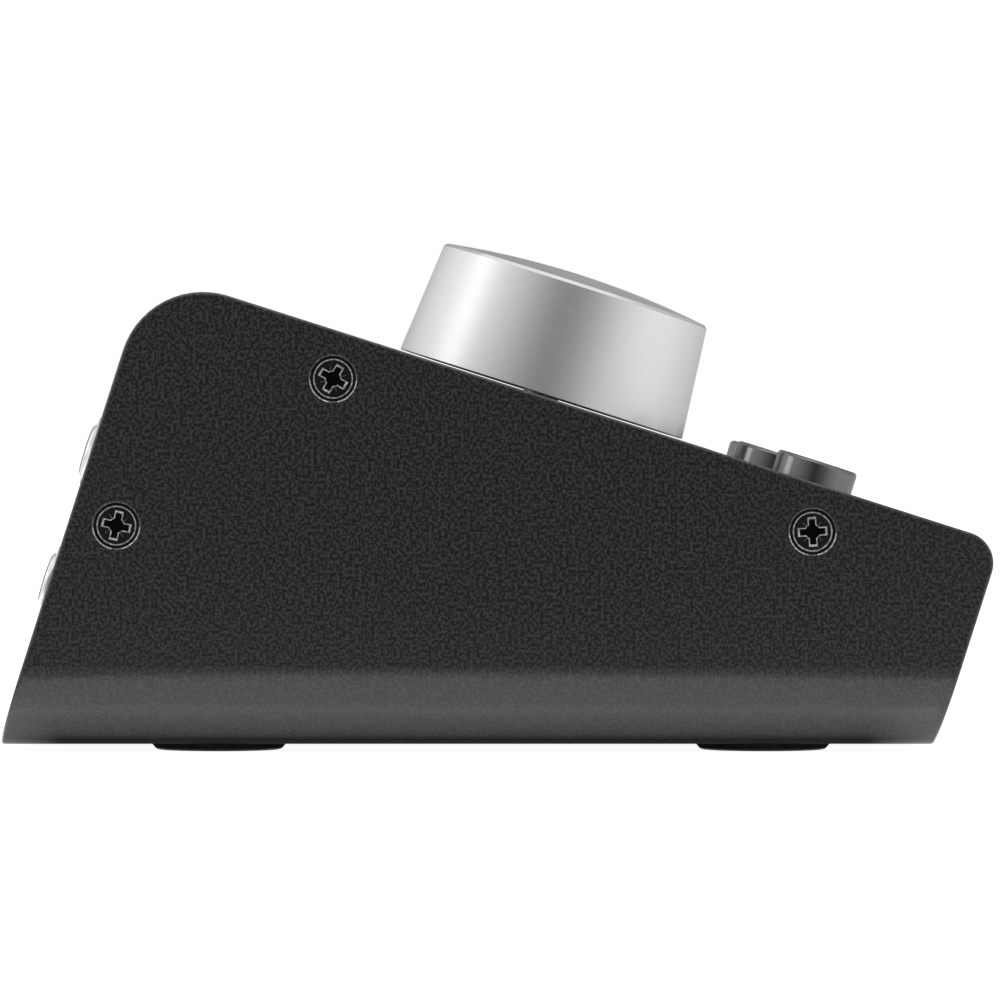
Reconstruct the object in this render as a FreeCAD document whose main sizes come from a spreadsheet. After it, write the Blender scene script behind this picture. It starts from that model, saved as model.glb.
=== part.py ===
import FreeCAD, Part

import math
import os
import re

import Sketcher

# Desktop monitor controller: a wedge-shaped steel case with a big volume knob and five push
# buttons on its sloping top, eight jack sockets at the back and four rubber feet.
#
# Frame: millimetres, +Z up, X across, the low front edge towards -Y and the socket panel
# towards +Y. The origin is on the table, under the middle of the case.

os.makedirs("parts", exist_ok=True)
doc = FreeCAD.newDocument("monitor_controller")

SIZES = {
    # case outline, seen from the side
    "panel_slope": 17.7,
    "panel_run": 140.6,
    "rear_height": 74.8,
    "rear_bend": 13.2,
    "front_bend": 5.0,
    # tray: side plates and base in one piece
    "case_width": 140.0,
    "tray_plate": 2.0,
    "tray_bend": 12.5,
    "tray_edge_round": 0.5,
    # folded control panel between the side plates
    "panel_plate": 1.5,
    "seam": 0.15,
    "flange_depth": 13.0,
    "relief_margin": 1.0,
    "window_round": 2.0,
    # feet
    "foot_height": 1.25,
    "foot_diameter": 22.0,
    "foot_taper": 0.9,
    "foot_inset_across": 24.0,
    "front_foot_inset": 35.5,
    "rear_foot_inset": 34.0,
    # countersunk side screws and their clinch nuts
    "screw_inset": 7.4,
    "upper_screw_place": 32.8,
    "front_screw_inset": 28.8,
    "rear_screw_drop": 39.7,
    "screw_head": 6.3,
    "screw_head_depth": 0.5,
    "screw_shank": 3.0,
    "screw_reach": 8.0,
    "head_gap": 0.05,
    "thread_gap": 0.1,
    "nut_collar": 4.2,
    "nut_flange": 6.4,
    "nut_flange_depth": 2.0,
    "press_gap": 0.02,
    # volume knob
    "knob_place": 64.9,
    "knob_base": 48.9,
    "knob_rim": 45.5,
    "knob_gap": 0.95,
    "knob_rim_height": 20.1,
    "knob_dome": 1.8,
    "knob_rim_round": 0.8,
    "knob_base_round": 0.15,
    "knob_wall": 2.4,
    "knob_crown": 4.5,
    "pointer_inner": 12.5,
    "pointer_depth": 0.4,
    "pointer_spread": 4.0,
    # knob hub
    "hub_plate": 2.0,
    "hub_boss": 12.0,
    "hub_recess": 3.0,
    "hub_clearance": 0.4,
    # volume potentiometer
    "shaft_diameter": 6.0,
    "shaft_flat": 1.5,
    "shaft_flat_length": 8.5,
    "shaft_top": 13.5,
    "shaft_fit": 0.04,
    "bushing_diameter": 7.0,
    "bushing_top": 0.3,
    "bushing_collar": 10.0,
    "bushing_collar_depth": 1.2,
    "bushing_gap": 0.1,
    "pot_diameter": 24.0,
    "pot_depth": 12.0,
    "pot_wall": 1.4,
    "rotor_diameter": 18.6,
    "rotor_plate": 2.0,
    "wiper_place": 7.0,
    "wiper_finger": 1.6,
    "wiper_gap": 0.05,
    "element_plate": 1.6,
    "terminal_spacing": 5.0,
    "terminal_place": 6.0,
    "terminal_width": 0.8,
    "terminal_thickness": 0.5,
    "terminal_tail": 1.0,
    # push buttons
    "button_inset": 30.2,
    "button_stagger": 6.1,
    "button_pitch": 20.0,
    "button_diameter": 13.3,
    "button_height": 3.9,
    "button_skirt": 4.0,
    "button_round": 0.8,
    "button_wall": 1.2,
    "button_top": 1.6,
    "button_boss": 5.2,
    "button_gap": 0.2,
    "button_travel": 2.5,
    "cap_clearance": 1.1,
    # switches
    "switch_width": 8.5,
    "switch_height": 8.4,
    "switch_wall": 0.7,
    "switch_floor": 0.8,
    "plunger_diameter": 3.3,
    "plunger_collar": 5.6,
    "plunger_collar_depth": 1.0,
    "plunger_fit": 0.08,
    "plunger_reach": 0.6,
    "plunger_stop_gap": 0.1,
    "spring_wire": 0.35,
    "spring_diameter": 4.4,
    "spring_turns": 4.0,
    "spring_closed": 1.7,
    "spring_gap": 0.05,
    # control board and its standoffs
    "board_plate": 1.6,
    "board_width": 112.0,
    "board_top_end": 50.0,
    "board_front_inset": 12.6,
    "standoff_flats": 5.5,
    "standoff_bore": 3.2,
    "standoff_bore_depth": 7.0,
    "standoff_inset": 5.0,
    "board_screw_head": 5.6,
    "board_screw_head_height": 2.0,
    "board_screw_reach": 6.0,
    "board_screw_round": 0.8,
    # jack sockets
    "jack_pitch_across": 26.0,
    "jack_pitch_down": 21.6,
    "upper_jack_drop": 30.3,
    "jack_width": 16.0,
    "jack_depth": 28.0,
    "jack_bore": 6.5,
    "jack_barrel": 9.0,
    "jack_nose": 2.25,
    "jack_lip": 0.1,
    "jack_tail": 4.0,
    "jack_chamber": 7.6,
    "jack_back_wall": 2.0,
    "jack_hole_gap": 0.1,
    "jack_washer": 12.4,
    "jack_washer_plate": 0.3,
    "jack_nut_flats": 11.0,
    "jack_nut_height": 1.2,
    # contact springs, jack board and ribbon link
    "contact_slot": 4.0,
    "contact_width": 3.0,
    "contact_thickness": 0.4,
    "contact_rise": 5.6,
    "contact_dip": 2.9,
    "contact_run": 11.0,
    "contact_tip": 3.0,
    "contact_pin_gap": 0.3,
    "jack_board_margin": 5.0,
    "ribbon_width": 12.7,
    "ribbon_thickness": 0.9,
    "ribbon_bend": 10.0,
    "ribbon_place": 28.0,
    "ribbon_drop": 42.0,
    "socket_width": 18.0,
    "socket_thickness": 6.0,
    "socket_height": 6.0,
}

sheet = doc.addObject("Spreadsheet::Sheet", "Sizes")
for row, (word, size) in enumerate(SIZES.items(), start=1):
    sheet.set(f"A{row}", word)
    sheet.set(f"B{row}", str(size))
    sheet.setAlias(f"B{row}", word)
doc.recompute()

SIZE_WORDS = re.compile(r"\b(" + "|".join(SIZES) + r")\b")

# Places worked out from the sheet, as formulas.
REAR_FOOT_OF_SLANT = "(rear_height * tan(panel_slope))"
FRONT_REACH = "((panel_run - front_bend) * cos(panel_slope) - front_bend * sin(panel_slope) + front_bend)"
REAR_REACH = f"({REAR_FOOT_OF_SLANT} - tray_edge_round * (tan(panel_slope) + 1 / cos(panel_slope) - 1))"
CREST_Y = f"(({FRONT_REACH} - {REAR_REACH}) / 2)"
CREST_Z = "(rear_height + foot_height)"
BROW_Y = f"({CREST_Y} - panel_run * cos(panel_slope))"
BROW_Z = f"({CREST_Z} - panel_run * sin(panel_slope))"
TRAY_FLOOR = "(foot_height + tray_plate)"
PANEL_HALF_WIDTH = "(case_width / 2 - tray_plate - seam)"
PANEL_FOOT = f"({TRAY_FLOOR} + seam)"
BOARD_DROP = "(button_skirt + button_travel + cap_clearance + switch_height)"

# The crest is the sharp corner where the top and the rear face would meet. The panel frame
# stands on it: x across, y up the slope, z out of the panel. The rear frame: x across,
# y down the rear face, z out of it.
PANEL = f"placement(vector(0; {CREST_Y}; {CREST_Z}); rotation(vector(1; 0; 0); panel_slope))"
REAR = f"{PANEL} * placement(vector(0; 0; 0); rotation(vector(1; 0; 0); -90))"


def case_point(down, below):
    """(y, z) of a point this far down the slope from the crest and this far under the panel."""
    return (
        f"({CREST_Y} - ({down}) * cos(panel_slope) + ({below}) * sin(panel_slope))",
        f"({CREST_Z} - ({down}) * sin(panel_slope) - ({below}) * cos(panel_slope))",
    )


def sized(formula):
    """A formula with each size's word pointed at its cell in the sheet."""
    return SIZE_WORDS.sub(r"Sizes.\1", str(formula))


def value(formula):
    return float(sheet.evalExpression(sized(formula)))


def moved(across="0", along="0", out="0"):
    return f"placement(vector({across}; {along}; {out}); rotation(vector(0; 0; 1); 0))"


def shifted(frame, across="0", along="0", out="0"):
    """A frame moved within itself."""
    return f"{frame} * {moved(across, along, out)}"


# ---- modelling helpers ----


def new_body(label, frame=None):
    body = doc.addObject("PartDesign::Body", label)
    body.Label = label
    if frame:
        body.setExpression("Placement", sized(frame))
    return body


def origin_plane(body, role):
    return next(f for f in body.Origin.OriginFeatures if f.Role == role)


def new_sketch(body, role, offset=None):
    """A sketch on one of the body's own origin planes, or on a plane set off from it."""
    sketch = body.newObject("Sketcher::SketchObject", body.Name + "_sketch")
    sketch.AttachmentSupport = [(origin_plane(body, role), "")]
    sketch.MapMode = "FlatFace"
    if offset:
        sketch.setExpression("AttachmentOffset", sized(offset))
    return sketch


def constrain(sketch, kind, *where, formula=None):
    if formula is None:
        return sketch.addConstraint(Sketcher.Constraint(kind, *where))
    index = sketch.addConstraint(Sketcher.Constraint(kind, *where, value(formula)))
    sketch.setExpression(f"Constraints[{index}]", sized(formula))
    return index


def pin_point(sketch, geometry, end, across, up):
    """Holds a point of the sketch at its distances from the origin."""
    constrain(sketch, "DistanceX", -1, 1, geometry, end, formula=across)
    constrain(sketch, "DistanceY", -1, 1, geometry, end, formula=up)


def add_arc(sketch, start, end, centre):
    """The shorter arc between two points. Returns its index and its ends in that order."""
    radius = start.distanceToPoint(centre)
    turn = (start - centre).cross(end - centre).z
    first, last = (start, end) if turn > 0 else (end, start)
    angles = [math.atan2(p.y - centre.y, p.x - centre.x) for p in (first, last)]
    if angles[1] < angles[0]:
        angles[1] += 2 * math.pi
    circle = Part.Circle(centre, FreeCAD.Vector(0, 0, 1), radius)
    index = sketch.addGeometry(Part.ArcOfCircle(circle, *angles))
    return (index, 1, 2) if turn > 0 else (index, 2, 1)


def outline(sketch, corners, arcs=None):
    """A closed outline through corners (across, up) or (across, up, rounding).

    arcs gives the radius of each side that is an arc, by the corner that it starts from; a
    positive one has its centre on the left of the way round.
    """
    arcs = arcs or {}
    count = len(corners)
    points = [FreeCAD.Vector(value(c[0]), value(c[1]), 0) for c in corners]
    leave, arrive, fillets = list(points), list(points), {}
    for i, corner in enumerate(corners):
        if len(corner) < 3:
            continue
        back = (points[i - 1] - points[i]).normalize()
        onward = (points[(i + 1) % count] - points[i]).normalize()
        half = back.getAngle(onward) / 2
        radius = value(corner[2])
        arrive[i] = points[i] + back * (radius / math.tan(half))
        leave[i] = points[i] + onward * (radius / math.tan(half))
        middle = (back + onward).normalize()
        fillets[i] = points[i] + middle * (radius / math.sin(half))
    sides = []
    for i in range(count):
        start, end = leave[i], arrive[(i + 1) % count]
        if i not in arcs:
            sides.append((sketch.addGeometry(Part.LineSegment(start, end)), 1, 2))
            continue
        radius = value(arcs[i])
        chord = end - start
        left = FreeCAD.Vector(-chord.y, chord.x, 0).normalize()
        rise = math.sqrt(radius**2 - (chord.Length / 2) ** 2)
        centre = (start + end) * 0.5 + left * math.copysign(rise, radius)
        sides.append(add_arc(sketch, start, end, centre))
        constrain(sketch, "Radius", sides[-1][0], formula=f"abs({arcs[i]})")
    for i, corner in enumerate(corners):
        before, after = sides[i - 1], sides[i]
        if i not in fillets:
            constrain(sketch, "Coincident", before[0], before[2], after[0], after[1])
            pin_point(sketch, after[0], after[1], corner[0], corner[1])
            continue
        arc = add_arc(sketch, arrive[i], leave[i], fillets[i])
        constrain(sketch, "Tangent", before[0], before[2], arc[0], arc[1])
        constrain(sketch, "Tangent", arc[0], arc[2], after[0], after[1])
        constrain(sketch, "Radius", arc[0], formula=corner[2])
        peak = sketch.addGeometry(Part.Point(points[i]), True)
        pin_point(sketch, peak, 1, corner[0], corner[1])
        constrain(sketch, "PointOnObject", peak, 1, before[0])
        constrain(sketch, "PointOnObject", peak, 1, after[0])


def circle(sketch, across, up, diameter):
    centre = FreeCAD.Vector(value(across), value(up), 0)
    normal = FreeCAD.Vector(0, 0, 1)
    index = sketch.addGeometry(Part.Circle(centre, normal, value(diameter) / 2))
    pin_point(sketch, index, 3, across, up)
    constrain(sketch, "Diameter", index, formula=diameter)


def rectangle(sketch, left, right, low, high):
    outline(sketch, [(left, low), (right, low), (right, high), (left, high)])


def hexagon(sketch, flats, across="0", up="0"):
    reach = f"({flats}) / (2 * cos(30))"
    turns = range(0, 360, 60)
    outline(sketch, [(f"{across} + {reach} * cos({a})", f"{up} + {reach} * sin({a})") for a in turns])


def feature(body, kind, sketch, **formulas):
    """A feature made from a sketch, its sizes bound to the sheet."""
    made = body.newObject("PartDesign::" + kind, body.Name + "_" + kind.lower())
    made.Profile = sketch
    for name, formula in formulas.items():
        made.setExpression(name, sized(formula))
    body.Tip = made
    return made


def pad(body, sketch, length, symmetric=False, reverse=False):
    made = feature(body, "Pad", sketch, Length=length)
    made.SideType = "Symmetric" if symmetric else "One side"
    made.Reversed = reverse
    return made


def pocket(body, sketch, length=None, symmetric=False, reverse=False):
    """Cuts away from the sketch's normal, through everything when no length is given."""
    if length is None:
        made = feature(body, "Pocket", sketch)
        made.Type = "ThroughAll"
    else:
        made = feature(body, "Pocket", sketch, Length=length)
    made.SideType = "Symmetric" if symmetric else "One side"
    made.Reversed = reverse
    return made


def turned(body, corners, arcs=None):
    """A body turned about its z axis from a profile of (radius, height) corners."""
    sketch = new_sketch(body, "XZ_Plane")
    outline(sketch, corners, arcs)
    made = feature(body, "Revolution", sketch)
    made.ReferenceAxis = (sketch, ["V_Axis"])
    made.Angle = 360
    return made


def turned_cut(body, corners, arcs=None, angle="360"):
    sketch = new_sketch(body, "XZ_Plane")
    outline(sketch, corners, arcs)
    made = feature(body, "Groove", sketch, Angle=angle)
    made.ReferenceAxis = (sketch, ["V_Axis"])
    return made


def trim_to(body, role, corners):
    """Cuts away all that lies outside an outline, seen square to one of the origin planes."""
    sketch = new_sketch(body, role)
    reach = "2 * (panel_run + case_width)"
    rectangle(sketch, f"-({reach})", reach, f"-({reach})", reach)
    outline(sketch, corners)
    return pocket(body, sketch, symmetric=True)


def round_edges(body, edges, radius):
    base = body.Tip
    made = body.newObject("PartDesign::Fillet", body.Name + "_fillet")
    made.Base = (base, edges)
    made.setExpression("Radius", sized(radius))
    body.Tip = made
    return made


def ring_edges(body, diameter, height):
    """The body's circular edges of this diameter at this height on its axis."""
    doc.recompute()
    found = []
    for number, edge in enumerate(body.Tip.Shape.Edges, start=1):
        if edge.Degenerated or not isinstance(edge.Curve, Part.Circle):
            continue
        wide_enough = abs(2 * edge.Curve.Radius - value(diameter)) < 1e-4
        if wide_enough and abs(edge.Curve.Center.z - value(height)) < 1e-4:
            found.append(f"Edge{number}")
    return found


def group(label, first, frames):
    """One node of like pieces: the first body and a linked copy of it in each frame."""
    first.setExpression("Placement", sized(frames[0]))
    members = [first]
    for number, frame in enumerate(frames[1:], start=2):
        copy = doc.addObject("App::Link", f"{label}_{number}")
        copy.LinkedObject = first
        copy.LinkTransform = False
        copy.setExpression("Placement", sized(frame))
        members.append(copy)
    node = doc.addObject("Part::Compound", label)
    node.Label = label
    node.Links = members
    return node


# ---- case ----

SCREW_HOLE = "(screw_shank + 4 * thread_gap)"
COUNTERSINK = "(screw_head + 2 * screw_head_depth + 2 * head_gap)"
SCREW_POINTS = [
    case_point("upper_screw_place", "screw_inset"),
    case_point("panel_run - front_screw_inset", "screw_inset"),
    case_point("screw_inset", "rear_screw_drop"),
]


def side_outline(inset, foot, rear_round, front_round):
    """The case seen from the side, drawn this far inside its outer faces."""
    rise = f"({inset}) * (cos(panel_slope) + sin(panel_slope))"
    fall = f"({inset}) * (cos(panel_slope) - sin(panel_slope))"
    slant = f"({inset}) / cos(panel_slope)"
    rear_y = f"{CREST_Y} + ({CREST_Z} - ({foot})) * tan(panel_slope) - {slant}"
    front_y = f"{BROW_Y} + ({BROW_Z} - ({foot})) * tan(panel_slope) + {slant}"
    return [
        (front_y, foot),
        (rear_y, foot),
        (f"{CREST_Y} - {fall}", f"{CREST_Z} - {rise}", rear_round),
        (f"{BROW_Y} + {rise}", f"{BROW_Z} - {fall}", front_round),
    ]


def build_base_tray():
    """Side plates and base bent from one sheet, with large bends along both lower edges."""
    body = new_body("base_tray")
    outside, inside = "case_width / 2", "(case_width / 2 - tray_plate)"
    inner_bend = "tray_bend - tray_plate"
    section = new_sketch(body, "XZ_Plane")
    outline(
        section,
        [
            (f"-{outside}", f"2 * {CREST_Z}"),
            (f"-{outside}", "foot_height", "tray_bend"),
            (outside, "foot_height", "tray_bend"),
            (outside, f"2 * {CREST_Z}"),
            (inside, f"2 * {CREST_Z}"),
            (inside, TRAY_FLOOR, inner_bend),
            (f"-{inside}", TRAY_FLOOR, inner_bend),
            (f"-{inside}", f"2 * {CREST_Z}"),
        ],
    )
    pad(body, section, "2 * panel_run", symmetric=True)
    trim_to(body, "YZ_Plane", side_outline("0", "-foot_height", "rear_bend", "front_bend"))
    round_edges(body, tray_rim(body), "tray_edge_round")
    seats = new_sketch(body, "YZ_Plane", moved(out="case_width / 2"))
    for y, z in SCREW_POINTS:
        circle(seats, y, z, SCREW_HOLE)
    doc.recompute()
    hole = feature(body, "Hole", seats, Depth="2 * tray_plate", Diameter=SCREW_HOLE)
    hole.DepthType = "Dimension"
    hole.DrillPoint = "Flat"
    hole.HoleCutType = "Countersink"
    hole.HoleCutCountersinkAngle = 90
    hole.setExpression("HoleCutDiameter", sized(COUNTERSINK))
    mirror = body.newObject("PartDesign::Mirrored", "far_plate_holes")
    mirror.Originals = [hole]
    mirror.MirrorPlane = (origin_plane(body, "YZ_Plane"), [""])
    body.Tip = mirror
    return body


def tray_rim(body):
    """The tray's edges along its outer skin, all but the bend lines."""
    doc.recompute()
    half, bend, low = value("case_width / 2"), value("tray_bend"), value("foot_height")
    rim = []
    for number, edge in enumerate(body.Tip.Shape.Edges, start=1):
        middle = (edge.FirstParameter + edge.LastParameter) / 2
        point, way = edge.valueAt(middle), edge.tangentAt(middle)
        out = max(abs(point.x) - (half - bend), 0)
        down = max(low + bend - point.z, 0)
        on_skin = abs(math.hypot(out, down) - bend) < 1e-4
        if on_skin and abs(way.y) < 0.9999:
            rim.append(f"Edge{number}")
    return rim


def build_control_panel():
    """Front, top and rear folded from one sheet, with flanges turned in behind the side plates."""
    body = new_body("control_panel")
    skin = new_sketch(body, "YZ_Plane")
    outline(skin, side_outline("0", PANEL_FOOT, "rear_bend", "front_bend"))
    pad(body, skin, f"2 * {PANEL_HALF_WIDTH}", symmetric=True)

    below = f"{PANEL_FOOT} - flange_depth"
    inner_rear, inner_front = "rear_bend - panel_plate", "front_bend - panel_plate"
    hollow = new_sketch(body, "YZ_Plane")
    outline(hollow, side_outline("panel_plate", below, inner_rear, inner_front))
    pocket(body, hollow, f"2 * ({PANEL_HALF_WIDTH} - panel_plate)", symmetric=True)
    window = new_sketch(body, "YZ_Plane")
    outline(window, side_outline("flange_depth", below, "window_round", "window_round"))
    pocket(body, window, symmetric=True)

    for down, bend in (("0", inner_rear), ("panel_run", inner_front)):
        cut_relief(body, down, bend)
    collars = new_sketch(body, "YZ_Plane")
    for y, z in SCREW_POINTS:
        circle(collars, y, z, "nut_collar + 2 * press_gap")
    pocket(body, collars, symmetric=True)
    trim_to(body, "XZ_Plane", panel_ends())

    top = new_sketch(body, "XY_Plane", PANEL)
    circle(top, "0", "-knob_place", "bushing_diameter + 2 * bushing_gap")
    for across, place in BUTTON_PLACES.values():
        circle(top, across, f"-({place})", "button_diameter + 2 * button_gap")
    pocket(body, top, "2 * panel_plate")
    rear = new_sketch(body, "XY_Plane", REAR)
    for across, drop in JACK_PLACES:
        circle(rear, across, drop, "jack_barrel + 2 * jack_hole_gap")
    pocket(body, rear, "2 * panel_plate")
    return body


def cut_relief(body, down, bend):
    """Opens the flanges at a bend, so that the sheet can fold there."""
    near, far = "panel_plate", "(flange_depth + relief_margin)"
    inward = "1" if down == "0" else "-1"
    steps = [(far, far), (near, far), (near, near), (far, near)]
    corners = [case_point(f"{down} + ({inward}) * {along}", under) for along, under in steps]
    corners[2] = (*corners[2], bend)
    relief = new_sketch(body, "YZ_Plane")
    outline(relief, corners)
    return pocket(body, relief, symmetric=True)


def panel_ends():
    """The front and rear walls' outline between the side plates, clear of the tray's bends."""
    side, high = PANEL_HALF_WIDTH, f"2 * {CREST_Z}"
    nest = "tray_bend - tray_plate"
    low = [(f"-{side}", PANEL_FOOT, nest), (side, PANEL_FOOT, nest)]
    return [(f"-{side}", high), *low, (side, high)]


def side_frames(out):
    """Frames at the side screws on both side plates, z pointing out of the case."""
    frames = []
    for sign, turn in (("-", -90), ("", 90)):
        for y, z in SCREW_POINTS:
            frames.append(
                f"placement(vector({sign}(case_width / 2 + ({out})); {y}; {z});"
                f" rotation(vector(0; 1; 0); {turn}))"
            )
    return frames


def build_side_screws():
    """Countersunk screws, their heads a little under the side plates' faces."""
    screw = new_body("side_screw")
    head, shank = "screw_head / 2", "screw_shank / 2"
    neck = "screw_head_depth - tray_plate"
    turned(
        screw,
        [
            ("0", "-screw_reach"),
            (shank, "-screw_reach"),
            (shank, "-tray_plate"),
            (f"{head} + {neck}", "-tray_plate"),
            (head, "-screw_head_depth"),
            ("0", "-screw_head_depth"),
        ],
    )
    return group("side_screws", screw, side_frames("0"))


def build_clinch_nuts():
    """Nuts pressed into the panel's flanges from behind."""
    nut = new_body("clinch_nut")
    bore, collar, flange = "screw_shank / 2 + thread_gap", "nut_collar / 2", "nut_flange / 2"
    back = "-(panel_plate + nut_flange_depth)"
    turned(
        nut,
        [
            (bore, back),
            (flange, back),
            (flange, "-panel_plate"),
            (collar, "-panel_plate"),
            (collar, "0"),
            (bore, "0"),
        ],
    )
    return group("clinch_nuts", nut, side_frames("-(tray_plate + seam)"))


def build_feet():
    """Low rubber discs under the base, a little wider where they are stuck on."""
    half_depth = f"({FRONT_REACH} + {REAR_REACH}) / 2"
    ends = {"front": f"front_foot_inset - {half_depth}", "rear": f"{half_depth} - rear_foot_inset"}
    sides = {"left": "foot_inset_across - case_width / 2", "right": "case_width / 2 - foot_inset_across"}
    feet = []
    for end, along in ends.items():
        for side, across in sides.items():
            foot = new_body(f"{end}_{side}_foot", moved(across, along))
            rim = "foot_diameter / 2"
            low = f"{rim} - foot_taper"
            turned(foot, [("0", "0"), (low, "0"), (rim, "foot_height"), ("0", "foot_height")])
            feet.append(foot)
    return feet


# ---- volume knob and potentiometer ----

KNOB = shifted(PANEL, along="-knob_place")
KNOB_TOP = "(knob_rim_height + knob_dome)"
KNOB_CEILING = f"({KNOB_TOP} - knob_crown)"
KNOB_BORE = "(knob_rim / 2 - knob_wall)"
DOME_RADIUS = "(((knob_rim / 2)^2 + knob_dome^2) / (2 * knob_dome))"
POT_FRONT = "(-(panel_plate + pot_wall))"
ELEMENT_TOP = "(-(panel_plate + pot_depth - element_plate))"
ROTOR_FLOOR = f"({ELEMENT_TOP} + wiper_gap + wiper_finger)"
ROTOR_TOP = f"({ROTOR_FLOOR} + rotor_plate)"
BUSHING_HOLE = "(bushing_diameter / 2 + bushing_gap)"
TERMINALS = (-1, 0, 1)


def build_knob_shell():
    """Turned aluminium: tapering sides, a domed crown, a pointer groove and a bore for the hub."""
    upright = "placement(vector(0; 0; 0); rotation(vector(0; 0; 1); 90))"
    body = new_body("knob_shell", f"{KNOB} * {upright}")
    turned(
        body,
        [
            (KNOB_BORE, "knob_gap"),
            ("knob_base / 2", "knob_gap"),
            ("knob_rim / 2", "knob_rim_height"),
            ("0", KNOB_TOP),
            ("0", KNOB_CEILING),
            (KNOB_BORE, KNOB_CEILING),
        ],
        arcs={2: DOME_RADIUS},
    )
    round_edges(body, ring_edges(body, "knob_rim", "knob_rim_height"), "knob_rim_round")
    round_edges(body, ring_edges(body, "knob_base", "knob_gap"), "knob_base_round")
    dome_at = f"({KNOB_TOP} - {DOME_RADIUS} + sqrt({DOME_RADIUS}^2 - pointer_inner^2))"
    floor = f"({KNOB_TOP} - {DOME_RADIUS} + sqrt({DOME_RADIUS}^2 - (knob_rim / 2)^2) - pointer_depth)"
    turned_cut(
        body,
        [
            ("pointer_inner", f"{dome_at} - pointer_depth"),
            ("knob_rim", f"{floor} - (knob_rim / 2) * pointer_inner / {DOME_RADIUS}"),
            ("knob_rim", f"{KNOB_TOP} + pointer_depth"),
            ("pointer_inner", f"{KNOB_TOP} + pointer_depth"),
        ],
        angle="pointer_spread",
    )
    return body


def build_knob_hub():
    """Moulded disc under the crown, and a boss with a D-shaped bore that takes the shaft."""
    body = new_body("knob_hub", KNOB)
    rim, boss, low = f"({KNOB_BORE} - press_gap)", "hub_boss / 2", "(knob_gap + hub_recess)"
    bore, bore_end = "(shaft_diameter / 2 + press_gap)", "(shaft_top + press_gap)"
    turned(
        body,
        [
            (bore, low),
            (boss, low),
            (boss, f"{KNOB_CEILING} - hub_plate"),
            (rim, f"{KNOB_CEILING} - hub_plate"),
            (rim, KNOB_CEILING),
            ("0", KNOB_CEILING),
            ("0", bore_end),
            (bore, bore_end),
        ],
    )
    start = "(shaft_top - shaft_flat_length + hub_clearance)"
    key = new_sketch(body, "XY_Plane", moved(out=start))
    rectangle(key, f"-{bore}", bore, "shaft_flat + press_gap", f"{bore} + hub_clearance")
    pad(body, key, f"{KNOB_CEILING} - {start}")
    return body


def build_potentiometer():
    """Shaft, bushing, can, rotor with its wiper, resistive element and terminals."""
    shaft = new_body("pot_shaft", KNOB)
    radius = "shaft_diameter / 2"
    turned(shaft, [("0", ROTOR_TOP), (radius, ROTOR_TOP), (radius, "shaft_top"), ("0", "shaft_top")])
    flat = new_sketch(shaft, "XY_Plane", moved(out="shaft_top"))
    rectangle(flat, "-shaft_diameter", "shaft_diameter", "shaft_flat", "shaft_diameter")
    pocket(shaft, flat, "shaft_flat_length")

    bushing = new_body("pot_bushing", KNOB)
    bore, tube, collar = f"{radius} + shaft_fit", "bushing_diameter / 2", "bushing_collar / 2"
    collar_end = f"{POT_FRONT} - bushing_collar_depth"
    turned(
        bushing,
        [
            (bore, collar_end),
            (collar, collar_end),
            (collar, POT_FRONT),
            (tube, POT_FRONT),
            (tube, "bushing_top"),
            (bore, "bushing_top"),
        ],
    )

    can = new_body("pot_housing", KNOB)
    outer, inner, back = "pot_diameter / 2", "(pot_diameter / 2 - pot_wall)", "-(panel_plate + pot_depth)"
    turned(
        can,
        [
            (inner, back),
            (outer, back),
            (outer, "-panel_plate"),
            (BUSHING_HOLE, "-panel_plate"),
            (BUSHING_HOLE, POT_FRONT),
            (inner, POT_FRONT),
        ],
    )

    rotor = new_body("pot_wiper", KNOB)
    edge = "rotor_diameter / 2"
    turned(rotor, [("0", ROTOR_FLOOR), (edge, ROTOR_FLOOR), (edge, ROTOR_TOP), ("0", ROTOR_TOP)])
    finger = new_sketch(rotor, "XY_Plane", moved(out=ROTOR_FLOOR))
    half = "wiper_finger / 2"
    rectangle(finger, f"-{half}", half, f"wiper_place - {half}", f"wiper_place + {half}")
    pad(rotor, finger, "wiper_finger", reverse=True)

    element = new_body("pot_element", KNOB)
    ring_edge = f"{inner} - press_gap"
    turned(element, [("0", back), (ring_edge, back), (ring_edge, ELEMENT_TOP), ("0", ELEMENT_TOP)])

    terminal = new_body("pot_terminal")
    blade = new_sketch(terminal, "XY_Plane")
    rectangle(blade, *centred("0", "terminal_width"), *centred("0", "terminal_thickness"))
    length = f"{BOARD_DROP} + board_plate + terminal_tail - panel_plate - pot_depth"
    pad(terminal, blade, length, reverse=True)
    frames = [shifted(KNOB, f"{i} * terminal_spacing", "-terminal_place", back) for i in TERMINALS]
    terminals = group("pot_terminals", terminal, frames)
    return [shaft, bushing, can, rotor, element, terminals]


def centred(middle, width):
    """The two ends of a width about its middle."""
    return (f"{middle} - ({width}) / 2", f"{middle} + ({width}) / 2")


def ring(body, bore, edge, low, high):
    """A flat ring or a tube, by its two radii and its two faces."""
    return turned(body, [(bore, low), (edge, low), (edge, high), (bore, high)])


def hex_nut(body, flats, bore, height):
    face = new_sketch(body, "XY_Plane")
    hexagon(face, flats)
    circle(face, "0", "0", bore)
    return pad(body, face, height)


# ---- push buttons ----

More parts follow.
